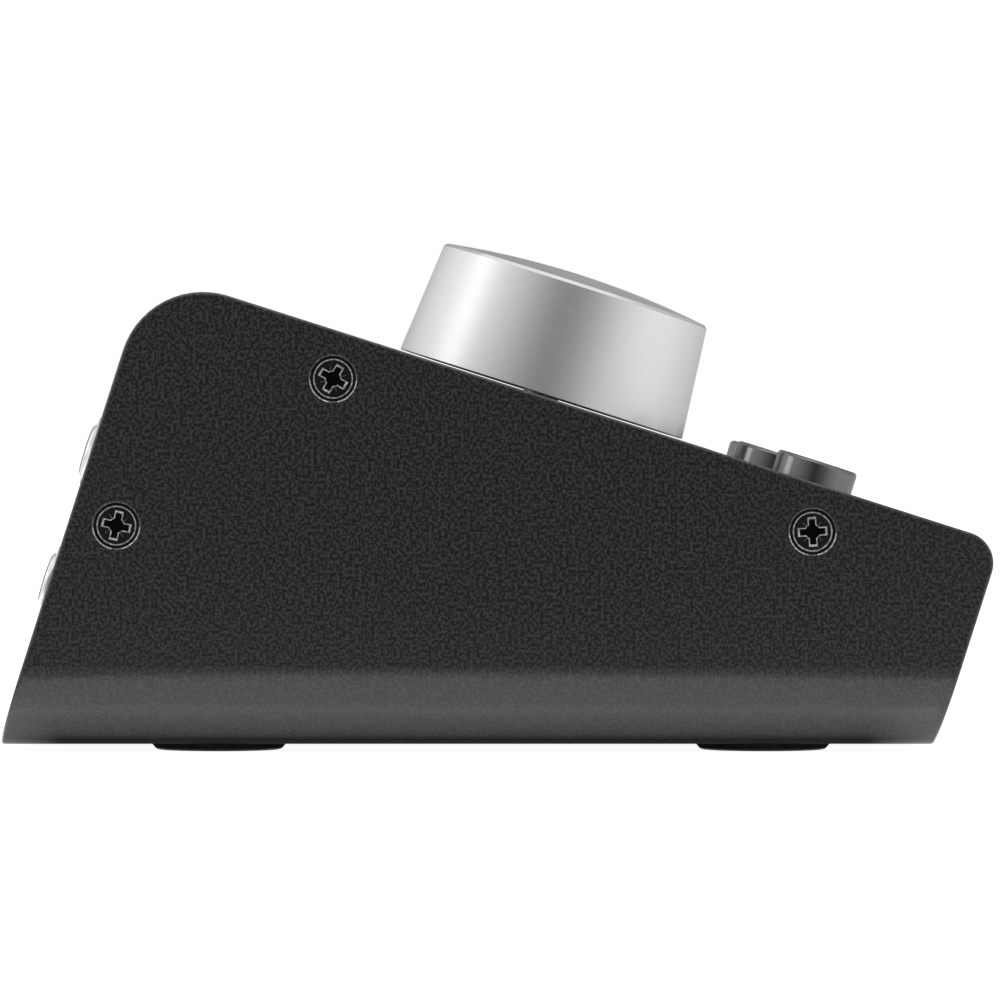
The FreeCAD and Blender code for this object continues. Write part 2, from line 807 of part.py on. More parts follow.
FRONT_ROW = "(panel_run - button_inset)"
REAR_ROW = f"({FRONT_ROW} - button_stagger)"
BUTTON_PLACES = {
    "input": ("-2 * button_pitch", FRONT_ROW),
    "mono": ("-button_pitch", REAR_ROW),
    "mute": ("0", FRONT_ROW),
    "dim": ("button_pitch", REAR_ROW),
    "monitor": ("2 * button_pitch", FRONT_ROW),
}
PLUNGER_RADIUS = "plunger_diameter / 2"
CHAMBER_FLOOR = f"(switch_floor - {BOARD_DROP})"
COLLAR_FLOOR = f"({CHAMBER_FLOOR} + spring_closed + button_travel)"
COLLAR_TOP = f"({COLLAR_FLOOR} + plunger_collar_depth)"
CHAMBER_TOP = f"({COLLAR_TOP} + plunger_stop_gap)"


def build_button(name, across, place):
    """A cap pressed on a switch's plunger, which slides in the housing under it on a spring."""
    frame = shifted(PANEL, across, f"-({place})")
    edge, inner = "button_diameter / 2", "(button_diameter / 2 - button_wall)"
    socket, boss = f"({PLUNGER_RADIUS} + press_gap)", "button_boss / 2"
    underside = "(button_height - button_top)"
    cap = new_body(f"{name}_button", frame)
    turned(
        cap,
        [
            (inner, "-button_skirt"),
            (edge, "-button_skirt"),
            (edge, "button_height", "button_round"),
            ("0", "button_height"),
            ("0", "plunger_reach"),
            (socket, "plunger_reach"),
            (socket, "-button_skirt"),
            (boss, "-button_skirt"),
            (boss, underside),
            (inner, underside),
        ],
    )

    plunger = new_body(f"{name}_plunger", frame)
    turned(
        plunger,
        [
            ("0", COLLAR_FLOOR),
            ("plunger_collar / 2", COLLAR_FLOOR),
            ("plunger_collar / 2", COLLAR_TOP),
            (PLUNGER_RADIUS, COLLAR_TOP),
            (PLUNGER_RADIUS, "plunger_reach"),
            ("0", "plunger_reach"),
        ],
    )

    housing = new_body(f"{name}_switch", frame)
    base = new_sketch(housing, "XY_Plane", moved(out=f"-{BOARD_DROP}"))
    rectangle(base, *centred("0", "switch_width"), *centred("0", "switch_width"))
    pad(housing, base, "switch_height")
    guide = f"({PLUNGER_RADIUS} + plunger_fit)"
    chamber = "(switch_width / 2 - switch_wall)"
    turned_cut(
        housing,
        [
            ("0", CHAMBER_FLOOR),
            (chamber, CHAMBER_FLOOR),
            (chamber, CHAMBER_TOP),
            (guide, CHAMBER_TOP),
            (guide, "0"),
            ("0", "0"),
        ],
    )

    spring = new_body(f"{name}_spring", frame)
    coil(spring, CHAMBER_FLOOR, COLLAR_FLOOR)
    return [cap, plunger, housing, spring]


def coil(body, low, high):
    """A compression spring of round wire that stands between two faces."""
    end = f"{low} + spring_gap + spring_wire / 2"
    wire = new_sketch(body, "XZ_Plane")
    circle(wire, "spring_diameter / 2", end, "spring_wire")
    length = f"{high} - ({low}) - 2 * spring_gap - spring_wire"
    made = feature(body, "AdditiveHelix", wire, Height=length, Pitch=f"({length}) / spring_turns")
    made.ReferenceAxis = (wire, ["V_Axis"])
    made.Mode = "pitch-height-angle"
    return made


# ---- control board ----

BOARD_LOW_END = "(panel_run - board_front_inset)"
STANDOFF_FRAMES = [
    shifted(PANEL, f"{side} * (board_width / 2 - standoff_inset)", end)
    for side in ("-1", "1")
    for end in ("-(board_top_end + standoff_inset)", f"-({BOARD_LOW_END} - standoff_inset)")
]


def build_control_board():
    """The board under the panel, with holes for its screws and the potentiometer's terminals."""
    body = new_body("control_board", PANEL)
    face = new_sketch(body, "XY_Plane", moved(out=f"-{BOARD_DROP}"))
    rectangle(face, *centred("0", "board_width"), f"-{BOARD_LOW_END}", "-board_top_end")
    for side in ("-1", "1"):
        across = f"{side} * (board_width / 2 - standoff_inset)"
        circle(face, across, "-(board_top_end + standoff_inset)", "standoff_bore")
        circle(face, across, f"-({BOARD_LOW_END} - standoff_inset)", "standoff_bore")
    for i in TERMINALS:
        wide = centred(f"{i} * terminal_spacing", "terminal_width + 2 * contact_pin_gap")
        tall = centred("-(knob_place + terminal_place)", "terminal_thickness + 2 * contact_pin_gap")
        rectangle(face, *wide, *tall)
    pad(body, face, "board_plate", reverse=True)
    return body


def build_board_fixings():
    """Hexagonal standoffs on the panel's back, and the screws that hold the board to them."""
    standoff = new_body("board_standoff")
    foot = moved(out=f"-{BOARD_DROP}")
    section = new_sketch(standoff, "XY_Plane", foot)
    hexagon(section, "standoff_flats")
    pad(standoff, section, f"{BOARD_DROP} - panel_plate")
    mouth = new_sketch(standoff, "XY_Plane", foot)
    circle(mouth, "0", "0", "standoff_bore")
    pocket(standoff, mouth, "standoff_bore_depth", reverse=True)

    screw = new_body("board_screw")
    under = f"-({BOARD_DROP} + board_plate)"
    head_end = f"{under} - board_screw_head_height"
    shank, head = "screw_shank / 2", "board_screw_head / 2"
    turned(
        screw,
        [
            ("0", head_end),
            (head, head_end, "board_screw_round"),
            (head, under),
            (shank, under),
            (shank, f"{under} + board_screw_reach"),
            ("0", f"{under} + board_screw_reach"),
        ],
    )
    return [
        group("board_standoffs", standoff, STANDOFF_FRAMES),
        group("board_screws", screw, STANDOFF_FRAMES),
    ]


# ---- jack sockets ----

JACK_COLUMNS = ("-1.5", "-0.5", "0.5", "1.5")
JACK_ROWS = ("0", "1")
JACK_PLACES = [
    (f"{column} * jack_pitch_across", f"(upper_jack_drop + {row} * jack_pitch_down)")
    for row in JACK_ROWS
    for column in JACK_COLUMNS
]
JACK_FRAMES = [shifted(REAR, across, drop) for across, drop in JACK_PLACES]
JACK_NAMES = [
    "input_1_left_jack",
    "input_1_right_jack",
    "input_2_left_jack",
    "input_2_right_jack",
    "monitor_1_left_jack",
    "monitor_1_right_jack",
    "monitor_2_left_jack",
    "monitor_2_right_jack",
]
JACK_BACK = "(-(panel_plate + jack_depth))"
BARREL_END = "(-(panel_plate + jack_tail))"
BARREL_RADIUS = "(jack_barrel / 2)"
CHAMBER_END = f"({JACK_BACK} + jack_back_wall)"


def build_jack(name, frame):
    """A jack's moulded housing: seat for the barrel, plug chamber, slot for the contact spring."""
    body = new_body(name, frame)
    front = new_sketch(body, "XY_Plane", moved(out="-panel_plate"))
    rectangle(front, *centred("0", "jack_width"), *centred("0", "jack_width"))
    pad(body, front, "jack_depth", reverse=True)
    seat, chamber = f"{BARREL_RADIUS} + press_gap", "jack_chamber / 2"
    turned_cut(
        body,
        [
            ("0", CHAMBER_END),
            (chamber, CHAMBER_END),
            (chamber, BARREL_END),
            (seat, BARREL_END),
            (seat, "panel_plate"),
            ("0", "panel_plate"),
        ],
    )
    back = new_sketch(body, "XY_Plane", moved(out=JACK_BACK))
    rectangle(back, *centred("0", "contact_slot"), "0", "contact_rise + contact_slot / 2")
    pocket(body, back, "jack_back_wall + contact_run + contact_tip", reverse=True)
    return body


def build_jack_metalwork():
    """Threaded barrels through the rear panel, their washers and nuts, and the contact springs."""
    barrel = new_body("jack_barrel_1")
    bore = "jack_bore / 2"
    turned(
        barrel,
        [
            (bore, BARREL_END),
            (BARREL_RADIUS, BARREL_END),
            (BARREL_RADIUS, "jack_nose", f"{BARREL_RADIUS} - {bore} - jack_lip"),
            (bore, "jack_nose"),
        ],
    )
    clear = f"{BARREL_RADIUS} + thread_gap"
    washer = new_body("jack_washer_1")
    ring(washer, clear, "jack_washer / 2", "0", "jack_washer_plate")
    nut = new_body("jack_nut_1")
    hex_nut(nut, "jack_nut_flats", f"2 * ({clear})", "jack_nut_height")

    contact = new_body("jack_contact_1")
    strip = new_sketch(contact, "YZ_Plane")
    tip_end = f"{CHAMBER_END} + contact_run + contact_tip / 2"
    path = [
        ("contact_rise", f"{JACK_BACK} - board_plate - terminal_tail"),
        ("contact_rise", f"{CHAMBER_END} + contact_tip / 2"),
        ("contact_dip", f"{CHAMBER_END} + contact_run - contact_tip / 2"),
        ("contact_dip + contact_tip / 2", tip_end),
    ]
    outer = [(f"{along} + contact_thickness", up) for along, up in path]
    outline(strip, path + outer[::-1])
    pad(contact, strip, "contact_width", symmetric=True)
    raised = [shifted(frame, out="jack_washer_plate") for frame in JACK_FRAMES]
    return [
        group("jack_barrels", barrel, JACK_FRAMES),
        group("jack_washers", washer, JACK_FRAMES),
        group("jack_nuts", nut, raised),
        group("jack_contacts", contact, JACK_FRAMES),
    ]


def build_jack_board():
    """The board across the backs of the jacks, pierced for their contacts."""
    body = new_body("jack_board", REAR)
    face = new_sketch(body, "XY_Plane", moved(out=JACK_BACK))
    margin = "(jack_width / 2 + jack_board_margin)"
    half = f"({JACK_COLUMNS[-1]} * jack_pitch_across + {margin})"
    top_row, low_row = "upper_jack_drop", "upper_jack_drop + jack_pitch_down"
    rectangle(face, f"-{half}", half, f"{top_row} - {margin}", f"{low_row} + {margin}")
    for across, drop in JACK_PLACES:
        wide = centred(across, "contact_width + 2 * contact_pin_gap")
        middle = f"({drop} + contact_rise + contact_thickness / 2)"
        rectangle(face, *wide, *centred(middle, "contact_thickness + 2 * contact_pin_gap"))
    pad(body, face, "board_plate", reverse=True)
    return body


def build_ribbon_link():
    """The ribbon cable between the two boards, and the socket on each that it plugs into."""
    socket = new_body("ribbon_socket_1")
    face = new_sketch(socket, "XY_Plane")
    rectangle(face, *centred("0", "socket_width"), *centred("0", "socket_thickness"))
    pad(socket, face, "socket_height", reverse=True)
    start_place = "(board_top_end + socket_thickness)"
    frames = [
        shifted(PANEL, "ribbon_place", f"-{start_place}", f"-({BOARD_DROP} + board_plate)"),
        shifted(REAR, "ribbon_place", "ribbon_drop", f"{JACK_BACK} - board_plate"),
    ]
    sockets = group("ribbon_sockets", socket, frames)

    ribbon = new_body("ribbon_cable", shifted(PANEL, "ribbon_place"))
    strip = new_sketch(ribbon, "YZ_Plane")
    half = "ribbon_thickness / 2"
    start = f"-({BOARD_DROP} + board_plate + socket_height)"
    end = f"{JACK_BACK} - board_plate - socket_height"
    outline(
        strip,
        [
            (f"-{start_place} - {half}", start),
            (f"-{start_place} - {half}", f"-ribbon_drop - {half}", f"ribbon_bend + {half}"),
            (end, f"-ribbon_drop - {half}"),
            (end, f"-ribbon_drop + {half}"),
            (f"-{start_place} + {half}", f"-ribbon_drop + {half}", f"ribbon_bend - {half}"),
            (f"-{start_place} + {half}", start),
        ],
    )
    pad(ribbon, strip, "ribbon_width", symmetric=True)
    return [sockets, ribbon]


# ---- assembly ----


def build_all():
    nodes = [build_base_tray(), build_control_panel(), build_side_screws(), build_clinch_nuts()]
    nodes += build_feet()
    nodes += [build_knob_shell(), build_knob_hub()]
    nodes += build_potentiometer()
    for name, (across, place) in BUTTON_PLACES.items():
        nodes += build_button(name, across, place)
    nodes.append(build_control_board())
    nodes += build_board_fixings()
    nodes += [build_jack(name, frame) for name, frame in zip(JACK_NAMES, JACK_FRAMES)]
    nodes += build_jack_metalwork()
    nodes.append(build_jack_board())
    nodes += build_ribbon_link()
    return nodes


def check_document():
    for item in doc.Objects:
        if "Invalid" in item.State or "Error" in item.State:
            raise RuntimeError(f"{item.Label} failed: {item.State}")


def export(nodes):
    for node in nodes:
        shape = node.Shape
        if shape.isNull() or not shape.isValid() or not shape.Solids:
            raise RuntimeError(f"{node.Label} has no sound shape")
    for node in nodes:
        node.Shape.exportStep(f"parts/{node.Label}.step")
        print(f"{node.Label}: {len(node.Shape.Solids)} solid(s), {node.Shape.Volume:.1f} mm3")


subparts = build_all()
doc.recompute()
check_document()
export(subparts)
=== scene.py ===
import math

import bpy
from mathutils import Matrix, Vector


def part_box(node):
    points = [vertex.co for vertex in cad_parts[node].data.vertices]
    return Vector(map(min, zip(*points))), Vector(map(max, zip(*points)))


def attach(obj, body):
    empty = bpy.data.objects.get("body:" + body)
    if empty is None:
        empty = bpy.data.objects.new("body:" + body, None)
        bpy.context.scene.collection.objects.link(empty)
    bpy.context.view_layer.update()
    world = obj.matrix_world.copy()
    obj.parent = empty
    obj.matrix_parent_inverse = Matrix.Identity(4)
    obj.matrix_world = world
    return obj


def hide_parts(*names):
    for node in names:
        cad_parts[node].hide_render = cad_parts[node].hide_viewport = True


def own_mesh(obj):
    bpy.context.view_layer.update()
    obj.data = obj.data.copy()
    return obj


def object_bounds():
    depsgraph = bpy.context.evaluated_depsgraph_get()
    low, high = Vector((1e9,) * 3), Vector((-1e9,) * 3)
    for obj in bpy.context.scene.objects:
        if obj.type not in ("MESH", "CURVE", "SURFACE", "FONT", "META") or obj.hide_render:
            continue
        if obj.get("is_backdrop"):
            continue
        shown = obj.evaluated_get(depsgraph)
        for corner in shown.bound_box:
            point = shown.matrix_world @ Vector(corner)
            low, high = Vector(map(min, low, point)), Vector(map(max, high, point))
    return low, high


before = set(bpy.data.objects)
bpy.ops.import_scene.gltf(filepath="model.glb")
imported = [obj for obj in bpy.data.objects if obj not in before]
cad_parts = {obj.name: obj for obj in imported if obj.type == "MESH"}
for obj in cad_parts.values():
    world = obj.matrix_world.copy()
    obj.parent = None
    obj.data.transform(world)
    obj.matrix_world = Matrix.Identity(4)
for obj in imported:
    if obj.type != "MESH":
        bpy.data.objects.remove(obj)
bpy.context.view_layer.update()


# ---- side plates and base ----
# One sheet of 2 mm steel, bent up along both sides with a large bend. It is powder coated a
# fine-textured black: the skin is mottled at well under a millimetre and has a dull shine.

MM = 0.001
COAT_GRAIN = 0.5
COAT_GRAIN_HEIGHT = 0.03
EDGE_ROUND = 0.35


def new_finish(name, colour, roughness, metallic=0.0, **sockets):
    """A finish that starts as one colour. Returns it with its node tree and its shader."""
    finish = bpy.data.materials.new(name)
    finish.use_nodes = True
    tree = finish.node_tree
    shader = tree.nodes["Principled BSDF"]
    shader.inputs["Base Color"].default_value = (*colour, 1)
    shader.inputs["Roughness"].default_value = roughness
    shader.inputs["Metallic"].default_value = metallic
    for socket, value in sockets.items():
        shader.inputs[socket.replace("_", " ")].default_value = value
    return finish, tree, shader


def own_space(tree):
    """Where each point of a piece lies in the piece's own space, in metres."""
    return tree.nodes.new("ShaderNodeTexCoord").outputs["Object"]


def cloud(tree, grain, detail=1.0):
    """Soft spots about this grain across, in metres, spread through the piece's own space."""
    noise = tree.nodes.new("ShaderNodeTexNoise")
    noise.inputs["Scale"].default_value = 1 / grain
    noise.inputs["Detail"].default_value = detail
    tree.links.new(own_space(tree), noise.inputs["Vector"])
    return noise.outputs["Fac"]


def tinted(tree, shader, pattern, dark, pale, low=0.35, high=0.65):
    """Colours the finish between two shades, as the pattern goes from low to high."""
    ramp = tree.nodes.new("ShaderNodeValToRGB")
    for stop, at, colour in zip(ramp.color_ramp.elements, (low, high), (dark, pale)):
        stop.position = at
        stop.color = (*colour, 1)
    tree.links.new(pattern, ramp.inputs["Fac"])
    tree.links.new(ramp.outputs["Color"], shader.inputs["Base Color"])


def spread(tree, pattern, low, high, first, last):
    """Turns a pattern that runs from low to high into one that runs from first to last."""
    limits = tree.nodes.new("ShaderNodeMapRange")
    sockets = ("From Min", "From Max", "To Min", "To Max")
    for socket, value in zip(sockets, (low, high, first, last)):
        limits.inputs[socket].default_value = value
    tree.links.new(pattern, limits.inputs["Value"])
    return limits.outputs["Result"]


def dulled(tree, shader, pattern, least, most):
    """Varies the roughness between two numbers with the pattern."""
    tree.links.new(spread(tree, pattern, 0.3, 0.7, least, most), shader.inputs["Roughness"])


def embossed(tree, shader, pattern, height):
    """Raises the skin by this much, in metres, where the pattern is 1."""
    bump = tree.nodes.new("ShaderNodeBump")
    bump.inputs["Distance"].default_value = height
    tree.links.new(pattern, bump.inputs["Height"])
    tree.links.new(bump.outputs["Normal"], shader.inputs["Normal"])


def finish_nodes(finish, *names):
    """Gives a finish to pieces that stay as the frame brings them."""
    for name in names:
        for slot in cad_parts[name].material_slots:
            slot.material = finish


powder_coat, tree, shader = new_finish(
    "textured_black_powder_coat",
    (0.03, 0.03, 0.031),
    0.5,
    Specular_IOR_Level=0.25,
    Coat_Weight=1.0,
    Coat_Roughness=0.22,
)
mottle = cloud(tree, COAT_GRAIN * MM, detail=1.6)
tinted(tree, shader, mottle, (0.001, 0.001, 0.001), (0.046, 0.046, 0.047), 0.43, 0.60)
dulled(tree, shader, mottle, 0.44, 0.56)
embossed(tree, shader, mottle, COAT_GRAIN_HEIGHT * MM)
edges = tree.nodes.new("ShaderNodeBevel")
edges.samples = 6
edges.inputs["Radius"].default_value = EDGE_ROUND * MM
tree.links.new(edges.outputs["Normal"], tree.nodes["Bump"].inputs["Normal"])
tree.links.new(edges.outputs["Normal"], shader.inputs["Coat Normal"])
finish_nodes(powder_coat, "base_tray")


# ---- folded control panel ----
# Front, top and rear folded from one 1.5 mm sheet, which hangs between the side plates on
# its inturned flanges. It has the same coat as the side plates.

finish_nodes(powder_coat, "control_panel")


# ---- dial marks ----
# Pale ink printed on the sloping top round the knob: ten steps with plain numbers and a short
# mark half-way between each two. The ink is a hair thick.

SLOPE = math.radians(17.7)
CREST = Vector((0, 54.4867 * MM, 76.05 * MM))
ON_TOP = Matrix.Translation(CREST) @ Matrix.Rotation(SLOPE, 4, "X")
KNOB_DOWN = 64.9
DIAL_START = 150.0
DIAL_STEP = 30.0
DIAL_STEPS = 10
INK = 0.02
# Inner radius, outer radius and width of a mark.
LONG_MARK = (27.0, 29.2, 0.45)
SHORT_MARK = (27.0, 28.2, 0.3)
NUMBER_RADIUS = 32.4
NUMBER_SIZE = 3.4


def shifted(face, across, along, out=0.0):
    """A place on a face of the case, in millimetres from the crest."""
    return face @ Matrix.Translation(Vector((across, along, out)) * MM)


def added(operator, **settings):
    """Runs an operator that adds an object, while nothing else is selected."""
    bpy.ops.object.select_all(action="DESELECT")
    operator(**settings)
    return bpy.context.object


def only(piece):
    """Selects this piece alone, so that the next operator acts on nothing else."""
    bpy.ops.object.select_all(action="DESELECT")
    piece.select_set(True)
    bpy.context.view_layer.objects.active = piece


def settled(piece, place):
    """Moves a piece to its place and leaves that place in its mesh."""
    only(piece)
    piece.matrix_world = place
    bpy.ops.object.transform_apply(location=True, rotation=True, scale=True)
    return piece


def joined(pieces, name):
    """Makes one piece of several."""
    only(pieces[0])
    for piece in pieces:
        piece.select_set(True)
    bpy.ops.object.join()
    bpy.context.object.name = name
    return bpy.context.object


ink, tree, shader = new_finish("pale_panel_ink", (0.62, 0.62, 0.60), 0.55)
tinted(tree, shader, cloud(tree, 0.25 * MM), (0.52, 0.52, 0.50), (0.66, 0.66, 0.64))
embossed(tree, shader, cloud(tree, 0.5 * MM), 0.01 * MM)

prints = []
dial = shifted(ON_TOP, 0, -KNOB_DOWN)
for half_step in range(2 * DIAL_STEPS + 1):
    turn = math.radians(DIAL_START - half_step * DIAL_STEP / 2)
    inner, outer, width = SHORT_MARK if half_step % 2 else LONG_MARK
    mark = added(bpy.ops.mesh.primitive_plane_add, size=1)
    bpy.ops.object.mode_set(mode="EDIT")
    bpy.ops.transform.resize(value=(width * MM, (outer - inner) * MM, 1))
    bpy.ops.transform.translate(value=(0, (inner + outer) / 2 * MM, 0))
    bpy.ops.mesh.extrude_region_move(TRANSFORM_OT_translate={"value": (0, 0, INK * MM)})
    bpy.ops.mesh.select_all(action="SELECT")
    bpy.ops.mesh.normals_make_consistent(inside=False)
    bpy.ops.object.mode_set(mode="OBJECT")
    prints.append(settled(mark, dial @ Matrix.Rotation(turn, 4, "Z")))
for step in range(DIAL_STEPS + 1):
    turn = math.radians(DIAL_START - step * DIAL_STEP)
    number = added(bpy.ops.object.text_add)
    number.data.body = str(step)
    number.data.size = NUMBER_SIZE * MM
    number.data.extrude = INK * MM / 2
    number.data.align_x = number.data.align_y = "CENTER"
    bpy.ops.object.convert(target="MESH")
    spot = Matrix.Rotation(turn, 4, "Z") @ Vector((0, NUMBER_RADIUS * MM, INK * MM / 2))
    prints.append(settled(bpy.context.object, dial @ Matrix.Translation(spot)))
dial_print = joined(prints, "dial_print")
dial_print.data.materials.clear()
dial_print.data.materials.append(ink)
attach(dial_print, "case")


# ---- clinch nuts ----
# Six round zinc-plated nuts pressed into the panel's flanges from behind, to take the side
# screws.

zinc, tree, shader = new_finish("bright_zinc_plate", (0.62, 0.63, 0.65), 0.3, metallic=1.0)
patches = cloud(tree, 1.5 * MM, detail=3.0)
tinted(tree, shader, patches, (0.50, 0.52, 0.55), (0.68, 0.68, 0.68))
dulled(tree, shader, patches, 0.22, 0.42)
finish_nodes(zinc, "clinch_nuts")


# ---- side screws ----
# Six black countersunk screws with cross recesses, sunk a little under the side plates. The
# black has worn to bare steel along the rim of each head and round its recess, which is also
# a painted highlight there, and the coat is rubbed through along the lip of each countersink,
# with a painted highlight on its lower left and lower right. The cross recesses and the cones
# inside the countersinks are near-black: painted shade.

# Down the slope from the crest, and under the panel.
SCREW_POINTS = ((32.8, 7.4), (111.8, 7.4), (7.4, 39.7))
NEAR_TURNS = (-30.0, 3.5, -13.5)
FAR_TURNS = (21.0, -38.0, 8.0)
HALF_WIDTH = 70.0
HEAD_DROP = 0.5
HEAD_RADIUS = 3.15
SHANK = 1.5
SHANK_ROOT = 1.24
SCREW_REACH = 8.0
PLATE = 2.0
THREAD_PITCH = 0.5
RECESS_ARM = 1.1
RECESS_SPAN = 4.4
RECESS_TOP = 0.2
RECESS_DEPTH = 1.3
RECESS_CORE = 1.15
RECESS_TAPER = 0.42
HEAD_RIM = 0.22
HEAD_RIM_FALL = 0.09
WORN_HIGHLIGHT_EDGE = 0.13
WORN_HIGHLIGHT_DEPTH = 0.03
TICK_SIZE = (0.9, 0.13, 0.08)
TICK_RADIUS = 1.65
SINK_RADIUS = 3.7
LIP_DEPTH = 0.06
# The painted highlight on each countersink lip, in degrees either side of straight down.
LIP_HIGHLIGHT_ARC = (12, 88)


def turned(name, outline, steps=96):
    """A piece as from the lathe: an outline of (radius, height), in millimetres, spun round."""
    piece = added(bpy.ops.mesh.primitive_plane_add, size=MM)
    piece.name = name
    bpy.ops.object.mode_set(mode="EDIT")
    bpy.ops.mesh.select_mode(type="VERT")
    bpy.ops.mesh.merge(type="CENTER")
    bpy.ops.transform.translate(value=Vector((outline[0][0], 0, outline[0][1])) * MM)
    for (radius, height), (next_radius, next_height) in zip(outline, outline[1:]):
        step = Vector((next_radius - radius, 0, next_height - height)) * MM
        bpy.ops.mesh.extrude_region_move(TRANSFORM_OT_translate={"value": step})
    bpy.ops.mesh.select_all(action="SELECT")
    bpy.ops.mesh.spin(steps=steps, angle=math.tau, center=(0, 0, 0), axis=(0, 0, 1))
    bpy.ops.mesh.select_all(action="SELECT")
    bpy.ops.mesh.remove_doubles(threshold=0.002 * MM)
    bpy.ops.mesh.normals_make_consistent(inside=False)
    bpy.ops.object.mode_set(mode="OBJECT")
    bpy.ops.object.shade_smooth_by_angle(angle=math.radians(32))
    return piece


def thread(low, high, pitch, crest, root):
    """The outline of a screw thread, as a row of ridges from low to high."""
    turns = int((high - low) / pitch)
    points = []
    for i in range(turns):
        points += [(root, low + i * pitch), (crest, low + (i + 0.5) * pitch)]
    return points + [(root, low + turns * pitch)]


def select_faces(piece, wanted):
    """Selects the faces whose middle and normal pass the test, for the next edit."""
    bpy.ops.object.mode_set(mode="OBJECT")
    for group in (piece.data.vertices, piece.data.edges, piece.data.polygons):
        group.foreach_set("select", [False] * len(group))
    for face in piece.data.polygons:
        face.select = wanted(face.center / MM, face.normal)
    bpy.ops.object.mode_set(mode="EDIT")
    bpy.ops.mesh.select_mode(type="FACE")


def painted(piece, finish, wanted):
    """Gives a finish to the faces whose middle and normal pass the test."""
    piece.data.materials.append(finish)
    for face in piece.data.polygons:
        if wanted(face.center / MM, face.normal):
            face.material_index = len(piece.data.materials) - 1


def cutting_block(size, middle, finish):
    """A square-edged cutter of this size round this middle, in millimetres."""
    block = added(bpy.ops.mesh.primitive_cube_add, size=MM)
    block.data.materials.append(finish)
    bpy.ops.object.mode_set(mode="EDIT")
    bpy.ops.transform.resize(value=size)
    bpy.ops.transform.translate(value=[length * MM for length in middle])
    bpy.ops.object.mode_set(mode="OBJECT")
    return block


def cut(piece, cutter):
    """Cuts one piece out of another, with the cutter's finish, and takes the cutter away."""
    only(piece)
    recess = piece.modifiers.new("cut", "BOOLEAN")
    recess.object = cutter
    recess.solver = "EXACT"
    recess.material_mode = "TRANSFER"
    bpy.ops.object.modifier_apply(modifier=recess.name)
    bpy.data.objects.remove(cutter)


def copy_of(piece, name):
    """A copy with a mesh of its own."""
    only(piece)
    bpy.ops.object.duplicate()
    bpy.context.object.name = name
    return bpy.context.object


black_oxide, tree, shader = new_finish(
    "black_oxide_steel", (0.02, 0.02, 0.022), 0.38, metallic=0.6
)
tinted(tree, shader, cloud(tree, 0.5 * MM), (0.005, 0.005, 0.005), (0.018, 0.018, 0.019))
dulled(tree, shader, cloud(tree, 0.3 * MM), 0.3, 0.5)
# Bright bare steel: wear on the head rims and round the recesses, and a painted highlight there
# and on the lip arcs.
worn_highlight_steel, tree, shader = new_finish("worn_steel_painted_highlight", (0.8, 0.8, 0.81), 0.4, metallic=0.5)
tinted(tree, shader, cloud(tree, 0.5 * MM, detail=2.0), (0.35, 0.35, 0.36), (0.95, 0.95, 0.96))
dulled(tree, shader, cloud(tree, 0.2 * MM), 0.35, 0.5)
rubbed_steel, tree, shader = new_finish(
    "rubbed_black_steel", (0.16, 0.16, 0.16), 0.45, metallic=0.5
)
tinted(tree, shader, cloud(tree, 0.5 * MM, detail=2.0), (0.08, 0.08, 0.08), (0.24, 0.24, 0.24))
# Near-black for the deep cross recesses and the cones inside the countersinks: painted shade.
painted_shade_black, tree, shader = new_finish(
    "painted_shade_black_steel", (0.004, 0.004, 0.004), 0.8, Specular_IOR_Level=0.1
)
tinted(tree, shader, cloud(tree, 0.5 * MM), (0.003, 0.003, 0.003), (0.006, 0.006, 0.006))

screw = turned(
    "side_screw",
    [
        (0, -SCREW_REACH),
        (SHANK_ROOT - 0.3, -SCREW_REACH),
        *thread(-SCREW_REACH + 0.3, -PLATE - 0.2, THREAD_PITCH, SHANK, SHANK_ROOT),
        (HEAD_RADIUS - (PLATE - HEAD_DROP) + 0.05, -PLATE),
        (HEAD_RADIUS, -HEAD_DROP - HEAD_RIM_FALL),
        (HEAD_RADIUS - HEAD_RIM, -HEAD_DROP),
        (0, -HEAD_DROP),
    ],
    steps=64,
)
screw.data.materials.append(black_oxide)
# The rim chamfer is bright bare steel all round: wear, and a painted highlight for the bright
# ring.
painted(
    screw,
    worn_highlight_steel,
    lambda middle, normal: middle.z > -(HEAD_DROP + HEAD_RIM_FALL)
    and Vector(middle.xy).length > HEAD_RADIUS - HEAD_RIM,
)


def cross_cutters(grown, depth, finish):
    """A cross with tapering arms and its round core, grown by this much, in millimetres."""
    arm = RECESS_ARM + 2 * grown
    half_way = (RECESS_TOP - depth) / 2 * MM
    driver = added(bpy.ops.mesh.primitive_cube_add, size=arm * MM)
    driver.data.materials.append(finish)
    select_faces(driver, lambda middle, normal: abs(normal.z) < 0.5)
    reach = (RECESS_SPAN - RECESS_ARM) / 2 * MM
    bpy.ops.mesh.extrude_faces_move(TRANSFORM_OT_shrink_fatten={"value": reach})
    bpy.ops.mesh.select_all(action="SELECT")
    bpy.ops.transform.resize(value=(1, 1, (depth + RECESS_TOP) / arm))
    bpy.ops.transform.translate(value=(0, 0, half_way))
    if depth > RECESS_TOP:
        select_faces(driver, lambda middle, normal: normal.z < -0.9)
        bpy.ops.transform.resize(value=(RECESS_TAPER, RECESS_TAPER, 1))
    bpy.ops.object.mode_set(mode="OBJECT")
    core = added(
        bpy.ops.mesh.primitive_cylinder_add,
        vertices=32,
        radius=(RECESS_CORE + grown) * MM,
        depth=(depth + RECESS_TOP) * MM,
    )
    core.data.materials.append(finish)
    settled(core, Matrix.Translation((0, 0, half_way)))
    return driver, core


head_top = Matrix.Translation((0, 0, -HEAD_DROP * MM))
